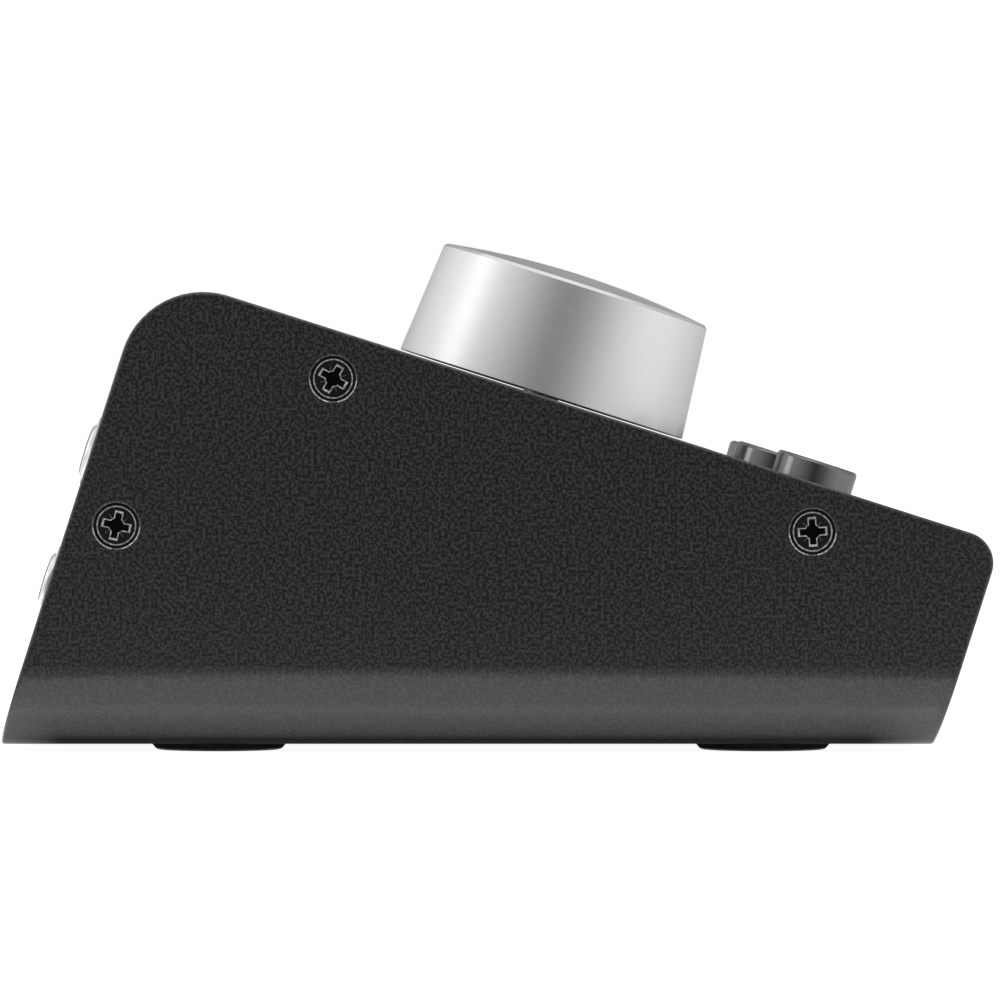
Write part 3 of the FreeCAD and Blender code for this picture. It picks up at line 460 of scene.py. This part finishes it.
# A shallow cut round the recess is bright bare steel, wear and a painted highlight on its edges;
# the deep recess and its core are near-black, painted shade.
for grown, depth, finish in ((WORN_HIGHLIGHT_EDGE, WORN_HIGHLIGHT_DEPTH, worn_highlight_steel), (0, RECESS_DEPTH, painted_shade_black)):
    for cutter in cross_cutters(grown, depth, finish):
        cut(screw, settled(cutter, head_top))
for corner in range(4):
    tick = cutting_block(TICK_SIZE, (TICK_RADIUS, 0, 0), rubbed_steel)
    turn = Matrix.Rotation(math.radians(45 + 90 * corner), 4, "Z")
    cut(screw, settled(tick, head_top @ turn))
bpy.ops.object.shade_smooth_by_angle(angle=math.radians(30))

sink = turned(
    "countersink_edge",
    [
        (SINK_RADIUS - 0.52, -0.5),
        (SINK_RADIUS - 0.1, -LIP_DEPTH),
        (SINK_RADIUS + 0.05, 0.03),
        (SINK_RADIUS + 0.08, 0),
        (SINK_RADIUS - 0.02, 0),
        (SINK_RADIUS - 0.5, -0.53),
        (SINK_RADIUS - 0.52, -0.5),
    ],
)
# The cone inside the countersink is lined in near-black: painted shade.
sink.data.materials.append(painted_shade_black)
arc_start, arc_end = LIP_HIGHLIGHT_ARC
painted(sink, rubbed_steel, lambda middle, normal: middle.z > -LIP_DEPTH)
# The lower left and lower right arcs of each lip are bright bare steel: a painted highlight.
painted(
    sink,
    worn_highlight_steel,
    lambda middle, normal: middle.z > -LIP_DEPTH
    and arc_start < math.degrees(math.atan2(abs(middle.y), -middle.x)) < arc_end,
)

for side, (sign, turns) in {"left": (-1, NEAR_TURNS), "right": (1, FAR_TURNS)}.items():
    for number, ((down, below), turn) in enumerate(zip(SCREW_POINTS, turns), start=1):
        point = ON_TOP @ (Vector((0, -down, -below)) * MM)
        point.x = sign * HALF_WIDTH * MM
        facing = Matrix.Rotation(math.radians(sign * 90), 4, "Y")
        place = Matrix.Translation(point) @ facing @ Matrix.Rotation(math.radians(turn), 4, "Z")
        piece = settled(copy_of(screw, f"side_screw_{side}_{number}"), place)
        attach(piece, "case")
        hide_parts("side_screws")
        upright = Matrix.Rotation(math.radians(90 + sign * 90), 4, "Z")
        hole = Matrix.Translation(point) @ facing @ upright
        edge = settled(copy_of(sink, f"countersink_edge_{side}_{number}"), hole)
        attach(edge, "case")
bpy.data.objects.remove(screw)
bpy.data.objects.remove(sink)


# ---- feet ----
# Four low discs of black rubber stuck under the base, each moulded with a raised ring that
# stands on the table.

FOOT_RADIUS = 11.0
FOOT_HEIGHT = 1.25
FOOT_HOLLOW = 0.2
RING_INSIDE = 6.95
RING_OUTSIDE = 9.6

rubber, tree, shader = new_finish("matt_black_rubber", (0.02, 0.02, 0.02), 0.75)
blotches = cloud(tree, 1.2 * MM, detail=3.0)
tinted(tree, shader, blotches, (0.035, 0.035, 0.035), (0.065, 0.065, 0.064))
dulled(tree, shader, cloud(tree, 0.6 * MM), 0.65, 0.85)
embossed(tree, shader, cloud(tree, 0.3 * MM), 0.02 * MM)

foot = turned(
    "foot",
    [
        (0, FOOT_HOLLOW),
        (6.6, FOOT_HOLLOW),
        (6.8, 0.05),
        (RING_INSIDE, 0),
        (RING_OUTSIDE, 0),
        (9.95, 0.08),
        (10.2, 0.3),
        (FOOT_RADIUS, FOOT_HEIGHT),
        (0, FOOT_HEIGHT),
    ],
)
foot.data.materials.append(rubber)
for name in ("front_left_foot", "front_right_foot", "rear_left_foot", "rear_right_foot"):
    low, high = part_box(name)
    middle = (low + high) / 2
    place = Matrix.Translation((middle.x, middle.y, low.z))
    piece = settled(copy_of(foot, name + "_disc"), place)
    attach(piece, "case")
    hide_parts(name)
bpy.data.objects.remove(foot)


# ---- volume knob ----
# One turning of aluminium with tapering sides and a slightly domed crown. The sides are bead
# blasted and anodised, the rim has a bright cut edge, and a milled groove holds black enamel.

KNOB_GAP = 0.56
BASE_RADIUS = 24.45
RIM_RADIUS = 22.75
RIM_HEIGHT = 19.5
DOME = 1.8
BORE_RADIUS = 20.35
CEILING = 17.4
RIM_CUT = 0.45
LATHE_RINGS = 0.35
GROOVE_START = 12.5
GROOVE_WIDTH = 1.5
GROOVE_DEPTH = 0.4
DOME_RADIUS = (RIM_RADIUS**2 + DOME**2) / (2 * DOME)


def knob_side(height):
    """The radius of the tapering side at this height."""
    return BASE_RADIUS + (RIM_RADIUS - BASE_RADIUS) * (height - KNOB_GAP) / (RIM_HEIGHT - KNOB_GAP)


def dome_height(radius):
    """The height of the crown this far from its middle."""
    return RIM_HEIGHT + DOME - DOME_RADIUS + math.sqrt(DOME_RADIUS**2 - radius**2)


def space_round(tree, middle, tilt=0.0):
    """The piece's own space, moved and tilted so that this point is its middle."""
    mapping = tree.nodes.new("ShaderNodeMapping")
    mapping.vector_type = "TEXTURE"
    mapping.inputs["Location"].default_value = middle
    mapping.inputs["Rotation"].default_value = (tilt, 0, 0)
    tree.links.new(own_space(tree), mapping.inputs["Vector"])
    return mapping.outputs["Vector"]


def ripples(tree, space, width):
    """Ripples that repeat every 2 pi times this width, in metres."""
    wave = tree.nodes.new("ShaderNodeTexWave")
    wave.inputs["Scale"].default_value = 0.05 / width
    tree.links.new(space, wave.inputs["Vector"])
    return wave


satin, tree, shader = new_finish(
    "bead_blasted_aluminium", (0.74, 0.74, 0.75), 0.4, metallic=1.0
)
blast = cloud(tree, 0.22 * MM, detail=2.0)
tinted(tree, shader, blast, (0.69, 0.69, 0.70), (0.78, 0.78, 0.79))
dulled(tree, shader, blast, 0.36, 0.44)
embossed(tree, shader, blast, 0.006 * MM)

bright_cut, tree, shader = new_finish(
    "bright_cut_aluminium", (0.74, 0.74, 0.75), 0.14, metallic=1.0
)
dulled(tree, shader, cloud(tree, 0.3 * MM), 0.10, 0.2)

crown_cut, tree, shader = new_finish(
    "turned_aluminium_crown", (0.76, 0.76, 0.77), 0.3, metallic=1.0
)
rings = ripples(tree, space_round(tree, dial.to_translation(), SLOPE), LATHE_RINGS * MM)
rings.wave_type = "RINGS"
rings.rings_direction = "Z"
rings.inputs["Distortion"].default_value = 0.4
tinted(tree, shader, cloud(tree, 0.3 * MM), (0.70, 0.70, 0.71), (0.80, 0.80, 0.81))
dulled(tree, shader, rings.outputs["Fac"], 0.24, 0.36)
embossed(tree, shader, rings.outputs["Fac"], 0.008 * MM)

enamel, tree, shader = new_finish("black_enamel", (0.02, 0.02, 0.02), 0.35)
tinted(tree, shader, cloud(tree, 0.6 * MM), (0.012, 0.012, 0.012), (0.03, 0.03, 0.03))

cut_low = RIM_HEIGHT - RIM_CUT
cut_inner = RIM_RADIUS - RIM_CUT
knob = turned(
    "volume_knob",
    [
        (0, CEILING),
        (BORE_RADIUS, CEILING),
        (BORE_RADIUS, KNOB_GAP + 0.3),
        (BORE_RADIUS + 0.3, KNOB_GAP),
        (BASE_RADIUS - 0.15, KNOB_GAP),
        (BASE_RADIUS - 0.05, KNOB_GAP + 0.04),
        (knob_side(KNOB_GAP + 0.15), KNOB_GAP + 0.15),
        *[(knob_side(height), height) for height in (5.0, 9.0, 13.0, 17.0)],
        (knob_side(cut_low), cut_low),
        (cut_inner, dome_height(cut_inner)),
        *[
            (radius, dome_height(radius))
            for radius in (21.5, 18.5, 15.5, 12.5, 9.5, 6.5, 3.5, 1.0)
        ],
        (0, RIM_HEIGHT + DOME),
    ],
    steps=192,
)
knob.data.materials.append(satin)
painted(
    knob,
    bright_cut,
    lambda middle, normal: middle.z > cut_low and Vector(middle.xy).length > cut_inner,
)
painted(
    knob,
    crown_cut,
    lambda middle, normal: middle.z > cut_low and Vector(middle.xy).length < cut_inner,
)

mill = cutting_block(
    (GROOVE_WIDTH, RIM_RADIUS - GROOVE_START + 2, 2),
    (0, (RIM_RADIUS + GROOVE_START + 2) / 2, 1),
    enamel,
)
lean = -math.asin((RIM_RADIUS + GROOVE_START) / 2 / DOME_RADIUS)
groove_floor = dome_height(GROOVE_START) - GROOVE_DEPTH + GROOVE_START * math.tan(-lean)
settled(mill, Matrix.Translation((0, 0, groove_floor * MM)) @ Matrix.Rotation(lean, 4, "X"))
cut(knob, mill)
bpy.ops.object.shade_smooth_by_angle(angle=math.radians(20))
settled(knob, dial)
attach(knob, "knob")
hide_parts("knob_shell")


# ---- knob hub and potentiometer ----
# The hub is moulded in black nylon and pressed into the knob. The potentiometer under it has
# a brass bushing, a zinc-plated can, a moulded rotor and a phenolic wafer with carbon tracks.


def moulded(name, dark, pale, roughness):
    """A finish of moulded plastic: a little cloudy, with a fine spark-eroded skin."""
    finish, tree, shader = new_finish(name, pale, roughness)
    tinted(tree, shader, cloud(tree, 2.0 * MM, detail=3.0), dark, pale)
    skin = cloud(tree, 0.18 * MM)
    dulled(tree, shader, skin, roughness - 0.06, roughness + 0.08)
    embossed(tree, shader, skin, 0.008 * MM)
    return finish


def plated(name, dark, pale, roughness):
    """A metal finish: a little patchy in colour and shine."""
    finish, tree, shader = new_finish(name, pale, roughness, metallic=1.0)
    patches = cloud(tree, 1.2 * MM, detail=3.0)
    tinted(tree, shader, patches, dark, pale)
    dulled(tree, shader, patches, roughness - 0.05, roughness + 0.1)
    return finish


black_nylon = moulded("black_nylon", (0.020, 0.020, 0.020), (0.035, 0.035, 0.035), 0.5)
brass = plated("turned_brass", (0.62, 0.46, 0.20), (0.75, 0.58, 0.30), 0.25)
tinned = plated("tin_plated_brass", (0.68, 0.65, 0.58), (0.80, 0.76, 0.68), 0.3)
phenolic = moulded("brown_phenolic", (0.15, 0.08, 0.035), (0.23, 0.13, 0.06), 0.45)
finish_nodes(black_nylon, "knob_hub", "pot_wiper")
finish_nodes(brass, "pot_bushing")
finish_nodes(zinc, "pot_shaft", "pot_housing")
finish_nodes(phenolic, "pot_element")
finish_nodes(tinned, "pot_terminals")


# ---- push buttons ----
# Five round caps, slightly dished and lacquered in metal grey, each pressed on the plunger of
# a small switch with a steel return spring. The input cap stands released, and the others a
# little lower, as when they are latched.

# Across, down the slope from the crest, and how far below the released height.
BUTTONS = {
    "input": (-40.0, 110.4, 0.0),
    "mono": (-20.0, 104.3, 0.55),
    "mute": (0.0, 110.4, 0.55),
    "dim": (20.0, 104.3, 0.55),
    "monitor": (40.0, 110.4, 0.55),
}
CAP_RADIUS = 6.65
CAP_TOP = 3.65
CAP_SKIRT = -4.0
CAP_BORE = 5.45
CAP_UNDERSIDE = 2.3
BOSS_RADIUS = 2.6
SOCKET_RADIUS = 1.67
SOCKET_TOP = 1.2
CAP_ROUND = 0.7
DISH = 0.3
SPRING_RADIUS = 2.2
SPRING_WIRE = 0.35
SPRING_TURNS = 4
SPRING_LENGTH = 4.1


def rounded(centre_radius, centre_height, radius, first, last, steps=6):
    """The points of an arc of an outline, from one angle to another."""
    points = []
    for i in range(steps + 1):
        angle = math.radians(first + (last - first) * i / steps)
        out, up = radius * math.cos(angle), radius * math.sin(angle)
        points.append((centre_radius + out, centre_height + up))
    return points


lacquer, tree, shader = new_finish(
    "metal_grey_lacquer", (0.16, 0.16, 0.165), 0.16, metallic=0.9
)
skin = cloud(tree, 0.2 * MM, detail=2.0)
tinted(tree, shader, skin, (0.145, 0.145, 0.15), (0.175, 0.175, 0.18))
dulled(tree, shader, skin, 0.14, 0.2)
embossed(tree, shader, skin, 0.005 * MM)

lip = CAP_RADIUS - CAP_ROUND
cap = turned(
    "button_cap",
    [
        (0, SOCKET_TOP),
        (SOCKET_RADIUS, SOCKET_TOP),
        (SOCKET_RADIUS, CAP_SKIRT),
        (BOSS_RADIUS, CAP_SKIRT),
        (BOSS_RADIUS, CAP_UNDERSIDE),
        (CAP_BORE, CAP_UNDERSIDE),
        (CAP_BORE, CAP_SKIRT),
        (CAP_RADIUS, CAP_SKIRT),
        (CAP_RADIUS, 0),
        *rounded(lip, CAP_TOP - CAP_ROUND, CAP_ROUND, 0, 90),
        (lip - 0.25, CAP_TOP - 0.03),
        *[
            (radius, CAP_TOP - DISH * (1 - (radius / lip) ** 2))
            for radius in (4.8, 3.8, 2.7, 1.6, 0.7)
        ],
        (0, CAP_TOP - DISH),
    ],
)
cap.data.materials.append(lacquer)

switch_grey = moulded("switch_moulding", (0.09, 0.09, 0.095), (0.14, 0.14, 0.145), 0.45)
spring_wire = plated("spring_wire", (0.45, 0.45, 0.47), (0.60, 0.60, 0.60), 0.3)
spring = added(bpy.ops.mesh.primitive_circle_add, vertices=10, radius=SPRING_WIRE / 2 * MM)
spring.data.materials.append(spring_wire)
bpy.ops.object.mode_set(mode="EDIT")
bpy.ops.transform.rotate(value=math.radians(90), orient_axis="X", center_override=(0, 0, 0))
bpy.ops.transform.translate(value=Vector((SPRING_RADIUS, 0, SPRING_WIRE / 2)) * MM)
bpy.ops.object.mode_set(mode="OBJECT")
coil = spring.modifiers.new("coil", "SCREW")
coil.iterations = SPRING_TURNS
coil.screw_offset = (SPRING_LENGTH - SPRING_WIRE) / SPRING_TURNS * MM
coil.steps = coil.render_steps = 24
bpy.ops.object.modifier_apply(modifier=coil.name)
bpy.ops.object.mode_set(mode="EDIT")
bpy.ops.mesh.select_all(action="SELECT")
bpy.ops.mesh.remove_doubles(threshold=0.002 * MM)
bpy.ops.mesh.fill_holes(sides=0)
bpy.ops.mesh.normals_make_consistent(inside=False)
bpy.ops.object.mode_set(mode="OBJECT")
bpy.ops.object.shade_smooth_by_angle(angle=math.radians(50))

upright = ON_TOP.to_3x3() @ Vector((0, 0, 1))
for name, (across, down, sunk) in BUTTONS.items():
    piece = settled(copy_of(cap, name + "_cap"), shifted(ON_TOP, across, -down, -sunk))
    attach(piece, name + "_key")
    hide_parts(name + "_button")
    finish_nodes(black_nylon, name + "_plunger")
    finish_nodes(switch_grey, name + "_switch")
    low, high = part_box(name + "_spring")
    foot_point = (low + high) / 2 - upright * SPRING_LENGTH / 2 * MM
    place = Matrix.Translation(foot_point) @ ON_TOP.to_3x3().to_4x4()
    piece = settled(copy_of(spring, name + "_coil"), place)
    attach(piece, "case")
    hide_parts(name + "_spring")
    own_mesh(piece)
bpy.data.objects.remove(cap)
bpy.data.objects.remove(spring)


# ---- control board ----
# Green glass laminate under the sloping top. It hangs on four hexagonal brass standoffs, with
# round-headed zinc-plated screws.

laminate, tree, shader = new_finish("green_solder_mask", (0.03, 0.16, 0.07), 0.35)
tinted(tree, shader, cloud(tree, 6.0 * MM, detail=2.0), (0.020, 0.11, 0.045), (0.035, 0.17, 0.075))
weave = tree.nodes.new("ShaderNodeTexVoronoi")
weave.inputs["Scale"].default_value = 1 / (1.2 * MM)
tree.links.new(own_space(tree), weave.inputs["Vector"])
embossed(tree, shader, weave.outputs["Distance"], 0.01 * MM)
finish_nodes(laminate, "control_board")
finish_nodes(brass, "board_standoffs")
finish_nodes(zinc, "board_screws")


# ---- jack sockets ----
# Eight quarter-inch jacks in two rows: a black moulded body behind the panel, a threaded and
# nickel-plated brass nose with a rounded mouth, a washer and a thin hexagonal nut.

ON_REAR = ON_TOP @ Matrix.Rotation(math.radians(-90), 4, "X")
JACK_PITCH = 26.0
ROW_DROPS = (30.3, 51.9)
JACKS = [(column * JACK_PITCH, drop) for drop in ROW_DROPS for column in (-1.5, -0.5, 0.5, 1.5)]
JACK_NAMES = [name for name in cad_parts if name.endswith("_jack")]
NOSE_RADIUS = 4.5
NOSE_ROOT = 4.25
NOSE_OUT = 2.25
NOSE_ROUND = 1.15
NOSE_BORE = 3.25
NOSE_BACK = -5.5
NOSE_PITCH = 0.6
NUT_FLATS = 11.0
NUT_LOW = 0.3
NUT_TOP = 1.5
NUT_BORE = 4.55
NUT_CHAMFER = 0.5
NUT_TURN = 23

nickel, tree, shader = new_finish("bright_nickel_plate", (0.83, 0.83, 0.82), 0.16, metallic=1.0)
patches = cloud(tree, 1.0 * MM, detail=3.0)
tinted(tree, shader, patches, (0.76, 0.76, 0.74), (0.86, 0.86, 0.85))
dulled(tree, shader, patches, 0.12, 0.24)
dark_band = plated("dark_banded_nickel", (0.05, 0.05, 0.05), (0.12, 0.12, 0.12), 0.35)

nose = turned(
    "jack_nose",
    [
        (NOSE_BORE, NOSE_BACK),
        (NOSE_ROOT, NOSE_BACK),
        *thread(NOSE_BACK + 0.2, NOSE_OUT - NOSE_ROUND - 0.1, NOSE_PITCH, NOSE_RADIUS, NOSE_ROOT),
        *rounded(NOSE_RADIUS - NOSE_ROUND, NOSE_OUT - NOSE_ROUND, NOSE_ROUND, 0, 90, steps=8),
        *rounded(NOSE_BORE + 0.15, NOSE_OUT - 0.15, 0.15, 90, 180, steps=3),
        (NOSE_BORE, NOSE_BACK),
    ],
)
nose.data.materials.append(nickel)
# A darker band round the rounded mouth, on the faces that lean about 10 to 37 degrees off the
# axis.
painted(nose, dark_band, lambda middle, normal: middle.z > 0 and 0.80 < normal.z < 0.985)

corner_radius = NUT_FLATS / 2 / math.cos(math.radians(30))
nut = turned(
    "jack_nut",
    [
        (NUT_BORE, NUT_LOW + 0.15),
        (NUT_BORE + 0.15, NUT_LOW),
        (corner_radius, NUT_LOW),
        (corner_radius, NUT_TOP - NUT_CHAMFER),
        (NUT_FLATS / 2 - 0.05, NUT_TOP),
        (NUT_BORE + 0.25, NUT_TOP),
        (NUT_BORE, NUT_TOP - 0.25),
        (NUT_BORE, NUT_LOW + 0.15),
    ],
)
nut.data.materials.append(nickel)
bpy.ops.object.mode_set(mode="EDIT")
for flat in range(6):
    facing = Vector((math.cos(math.radians(60 * flat)), math.sin(math.radians(60 * flat)), 0))
    bpy.ops.mesh.select_all(action="SELECT")
    bpy.ops.mesh.bisect(
        plane_co=facing * NUT_FLATS / 2 * MM, plane_no=facing, use_fill=True, clear_outer=True
    )
bpy.ops.object.mode_set(mode="OBJECT")
bpy.ops.object.shade_smooth_by_angle(angle=math.radians(25))

for number, (across, drop) in enumerate(JACKS, start=1):
    place = shifted(ON_REAR, across, drop)
    turn = Matrix.Rotation(math.radians(NUT_TURN * number % 60), 4, "Z")
    for part, name, node in (
        (nose, "jack_nose", "jack_barrels"),
        (nut, "jack_hex_nut", "jack_nuts"),
    ):
        piece = settled(copy_of(part, f"{name}_{number}"), place @ turn)
        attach(piece, "case")
        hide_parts(node)
bpy.data.objects.remove(nose)
bpy.data.objects.remove(nut)
finish_nodes(zinc, "jack_washers")
finish_nodes(black_nylon, *JACK_NAMES)
finish_nodes(tinned, "jack_contacts")


# ---- jack board and ribbon link ----
# A second green board stands on the backs of the jacks. A flat grey ribbon cable runs from it
# to the control board, with a black socket at each end.

WIRE_RIPPLES = 0.4

ribbon, tree, shader = new_finish("grey_ribbon_insulation", (0.45, 0.45, 0.46), 0.5)
wires = ripples(tree, own_space(tree), WIRE_RIPPLES * MM)
wires.bands_direction = "X"
tinted(tree, shader, wires.outputs["Fac"], (0.34, 0.34, 0.35), (0.48, 0.48, 0.49))
embossed(tree, shader, wires.outputs["Fac"], 0.15 * MM)
finish_nodes(laminate, "jack_board")
finish_nodes(ribbon, "ribbon_cable")
finish_nodes(black_nylon, "ribbon_sockets")


# ---- floor, light and camera ----
# A white floor that keeps the shadow, a soft lamp at the rear left and one overhead. A round
# tent, a ring on the floor and a small card under the case show in shiny surfaces alone, and
# give the metal its pale and dark bands.

FLOOR_SIZE = 30
FLOOR_GLOW = 0.95
SKY = 0.42
LAMPS = {
    "left_lamp": ((-0.22, 1.68, 0.75), (0.6, 0.5), 1.75),
    "top_lamp": ((-0.7, 0.05, 1.5), (1.2, 1.2), 0.85),
}
AIM = Vector((0, 0, 0.05))
CLOTH_GLOW = 1.2
TENT_RADIUS = 2.8
TENT_HEIGHT = 4.0
# Degrees from the camera towards the front of the case, and the tone there.
TENT_TONES = (
    (0, 0.10), (25, 0.46), (47, 0.98), (60, 1.12), (75, 1.12), (90, 0.98), (106, 0.76),
    (128, 0.62), (147, 0.54), (180, 0.30), (213, 0.72), (232, 1.00), (254, 1.12), (270, 1.00),
    (285, 0.90), (300, 0.95), (313, 0.82), (335, 0.50), (360, 0.10),
)
RING_HOLE = 0.125
RING_TONES = (
    (0, 0.10), (20, 0.26), (40, 0.72), (60, 1.10), (85, 1.15), (106, 0.98), (128, 0.80),
    (147, 0.70), (180, 0.50), (213, 0.72), (254, 1.00), (285, 0.90), (313, 0.60), (340, 0.26),
    (360, 0.10),
)
SHADE_SIZE = (0.144, 0.15)
SHADE_MIDDLE = (0, 0.005, 0)
SHADE_HEIGHT = 0.0003
# The distances from the middle that each fade runs between, and the glow at both.
SHADE_FADES = {"X": (0.0605, 0.0708, 0.05, 1.5), "Y": (0.064, 0.079, 0, 0.7)}
CAMERA_SPOT = (-1.370, -0.00071, 0.052)
LENS = 298.3
SHIFT_UP = -0.0765


def seen_by_eye(tree):
    """1 for what the camera sees straight on, in a mirror or through glass, and 0 otherwise."""
    path = tree.nodes.new("ShaderNodeLightPath")
    seen = path.outputs["Is Camera Ray"]
    for way in ("Is Glossy Ray", "Is Transmission Ray"):
        either = tree.nodes.new("ShaderNodeMath")
        either.operation = "MAXIMUM"
        tree.links.new(seen, either.inputs[0])
        tree.links.new(path.outputs[way], either.inputs[1])
        seen = either.outputs["Value"]
    return seen


floor_paint, tree, shader = new_finish(
    "white_floor", (0.86, 0.86, 0.86), 0.9, Specular_IOR_Level=0.0
)
tinted(tree, shader, cloud(tree, 0.4, detail=2.0), (0.85, 0.85, 0.85), (0.87, 0.87, 0.87))
glow = tree.nodes.new("ShaderNodeMath")
glow.operation = "MULTIPLY"
glow.inputs[1].default_value = FLOOR_GLOW
tree.links.new(seen_by_eye(tree), glow.inputs[0])
shader.inputs["Emission Color"].default_value = (1, 1, 1, 1)
tree.links.new(glow.outputs["Value"], shader.inputs["Emission Strength"])
floor = added(bpy.ops.mesh.primitive_plane_add, size=FLOOR_SIZE)
floor.name = "floor"
floor.data.materials.append(floor_paint)
floor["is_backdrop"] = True

world = bpy.data.worlds.new("white_studio")
bpy.context.scene.world = world
world.use_nodes = True
tree = world.node_tree
background = tree.nodes["Background"]
background.inputs["Color"].default_value = (1, 1, 1, 1)
strength = spread(tree, seen_by_eye(tree), 0, 1, SKY, 1)
tree.links.new(strength, background.inputs["Strength"])

for name, (spot, (width, height), brightness) in LAMPS.items():
    lamp = added(bpy.ops.object.light_add, type="AREA", location=spot)
    lamp.name = name
    lamp.rotation_euler = (Vector(spot) - AIM).to_track_quat("Z", "Y").to_euler()
    lamp.data.shape = "RECTANGLE"
    lamp.data.size = width
    lamp.data.size_y = height
    lamp.data.energy = brightness * math.pi * width * height
    lamp.visible_camera = False


def mirrored_only(piece, name, finish):
    """Keeps a stage piece out of the picture: only shiny surfaces see it."""
    piece.name = name
    piece.data.materials.append(finish)
    piece.visible_camera = False
    piece.visible_diffuse = False
    piece.visible_shadow = False
    piece.visible_transmission = False
    piece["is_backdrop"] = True
    return piece


def toned(name, tones):
    """A cloth that glows in these tones round the case."""
    cloth, tree, shader = new_finish(name, (0, 0, 0), 1.0, Specular_IOR_Level=0.0)
    around = tree.nodes.new("ShaderNodeTexGradient")
    around.gradient_type = "RADIAL"
    ramp = tree.nodes.new("ShaderNodeValToRGB")
    while len(ramp.color_ramp.elements) < len(tones):
        ramp.color_ramp.elements.new(0.5)
    for stop, (turn, tone) in zip(ramp.color_ramp.elements, tones):
        stop.position = turn / 360
        grey = tone / CLOTH_GLOW
        stop.color = (grey, grey, grey, 1)
    tree.links.new(own_space(tree), around.inputs["Vector"])
    tree.links.new(around.outputs["Fac"], ramp.inputs["Fac"])
    tree.links.new(ramp.outputs["Color"], shader.inputs["Emission Color"])
    shader.inputs["Emission Strength"].default_value = CLOTH_GLOW
    return cloth


tent = mirrored_only(
    added(
        bpy.ops.mesh.primitive_cylinder_add,
        vertices=128,
        radius=TENT_RADIUS,
        depth=TENT_HEIGHT,
        end_fill_type="NOTHING",
    ),
    "light_tent",
    toned("tent_cloth", TENT_TONES),
)
settled(tent, Matrix.Translation((0, 0, TENT_HEIGHT / 2)))

ring = mirrored_only(
    added(bpy.ops.mesh.primitive_circle_add, vertices=128, radius=RING_HOLE),
    "floor_ring",
    toned("ring_cloth", RING_TONES),
)
bpy.ops.object.mode_set(mode="EDIT")
bpy.ops.mesh.select_all(action="SELECT")
bpy.ops.mesh.extrude_edges_move()
bpy.ops.transform.resize(value=(TENT_RADIUS / RING_HOLE, TENT_RADIUS / RING_HOLE, 1))
bpy.ops.object.mode_set(mode="OBJECT")
settled(ring, Matrix.Translation((0, 0, MM)))

shade, tree, shader = new_finish("shade_under_case", (0, 0, 0), 1.0, Specular_IOR_Level=0.0)
apart = tree.nodes.new("ShaderNodeSeparateXYZ")
glow = tree.nodes.new("ShaderNodeMath")
tree.links.new(space_round(tree, SHADE_MIDDLE), apart.inputs["Vector"])
for fade, (axis, limits) in zip(glow.inputs, SHADE_FADES.items()):
    outward = tree.nodes.new("ShaderNodeMath")
    outward.operation = "ABSOLUTE"
    tree.links.new(apart.outputs[axis], outward.inputs[0])
    tree.links.new(spread(tree, outward.outputs["Value"], *limits), fade)
tree.links.new(glow.outputs["Value"], shader.inputs["Emission Strength"])
shader.inputs["Emission Color"].default_value = (1, 1, 1, 1)
card = mirrored_only(
    added(bpy.ops.mesh.primitive_plane_add, size=1), "shade_under_case", shade
)
lifted = Matrix.Translation(Vector(SHADE_MIDDLE) + Vector((0, 0, SHADE_HEIGHT)))
settled(card, lifted @ Matrix.Diagonal((*SHADE_SIZE, 1, 1)))

camera = added(
    bpy.ops.object.camera_add,
    location=CAMERA_SPOT,
    rotation=(math.radians(90), 0, math.radians(-90)),
)
camera.data.sensor_width = 36
camera.data.lens = LENS
camera.data.shift_y = SHIFT_UP
bpy.context.scene.camera = camera
bpy.context.scene.view_settings.view_transform = "Standard"


# ---- the model's box, and the end ----
# The box round the dressed model is found, in metres.

low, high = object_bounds()
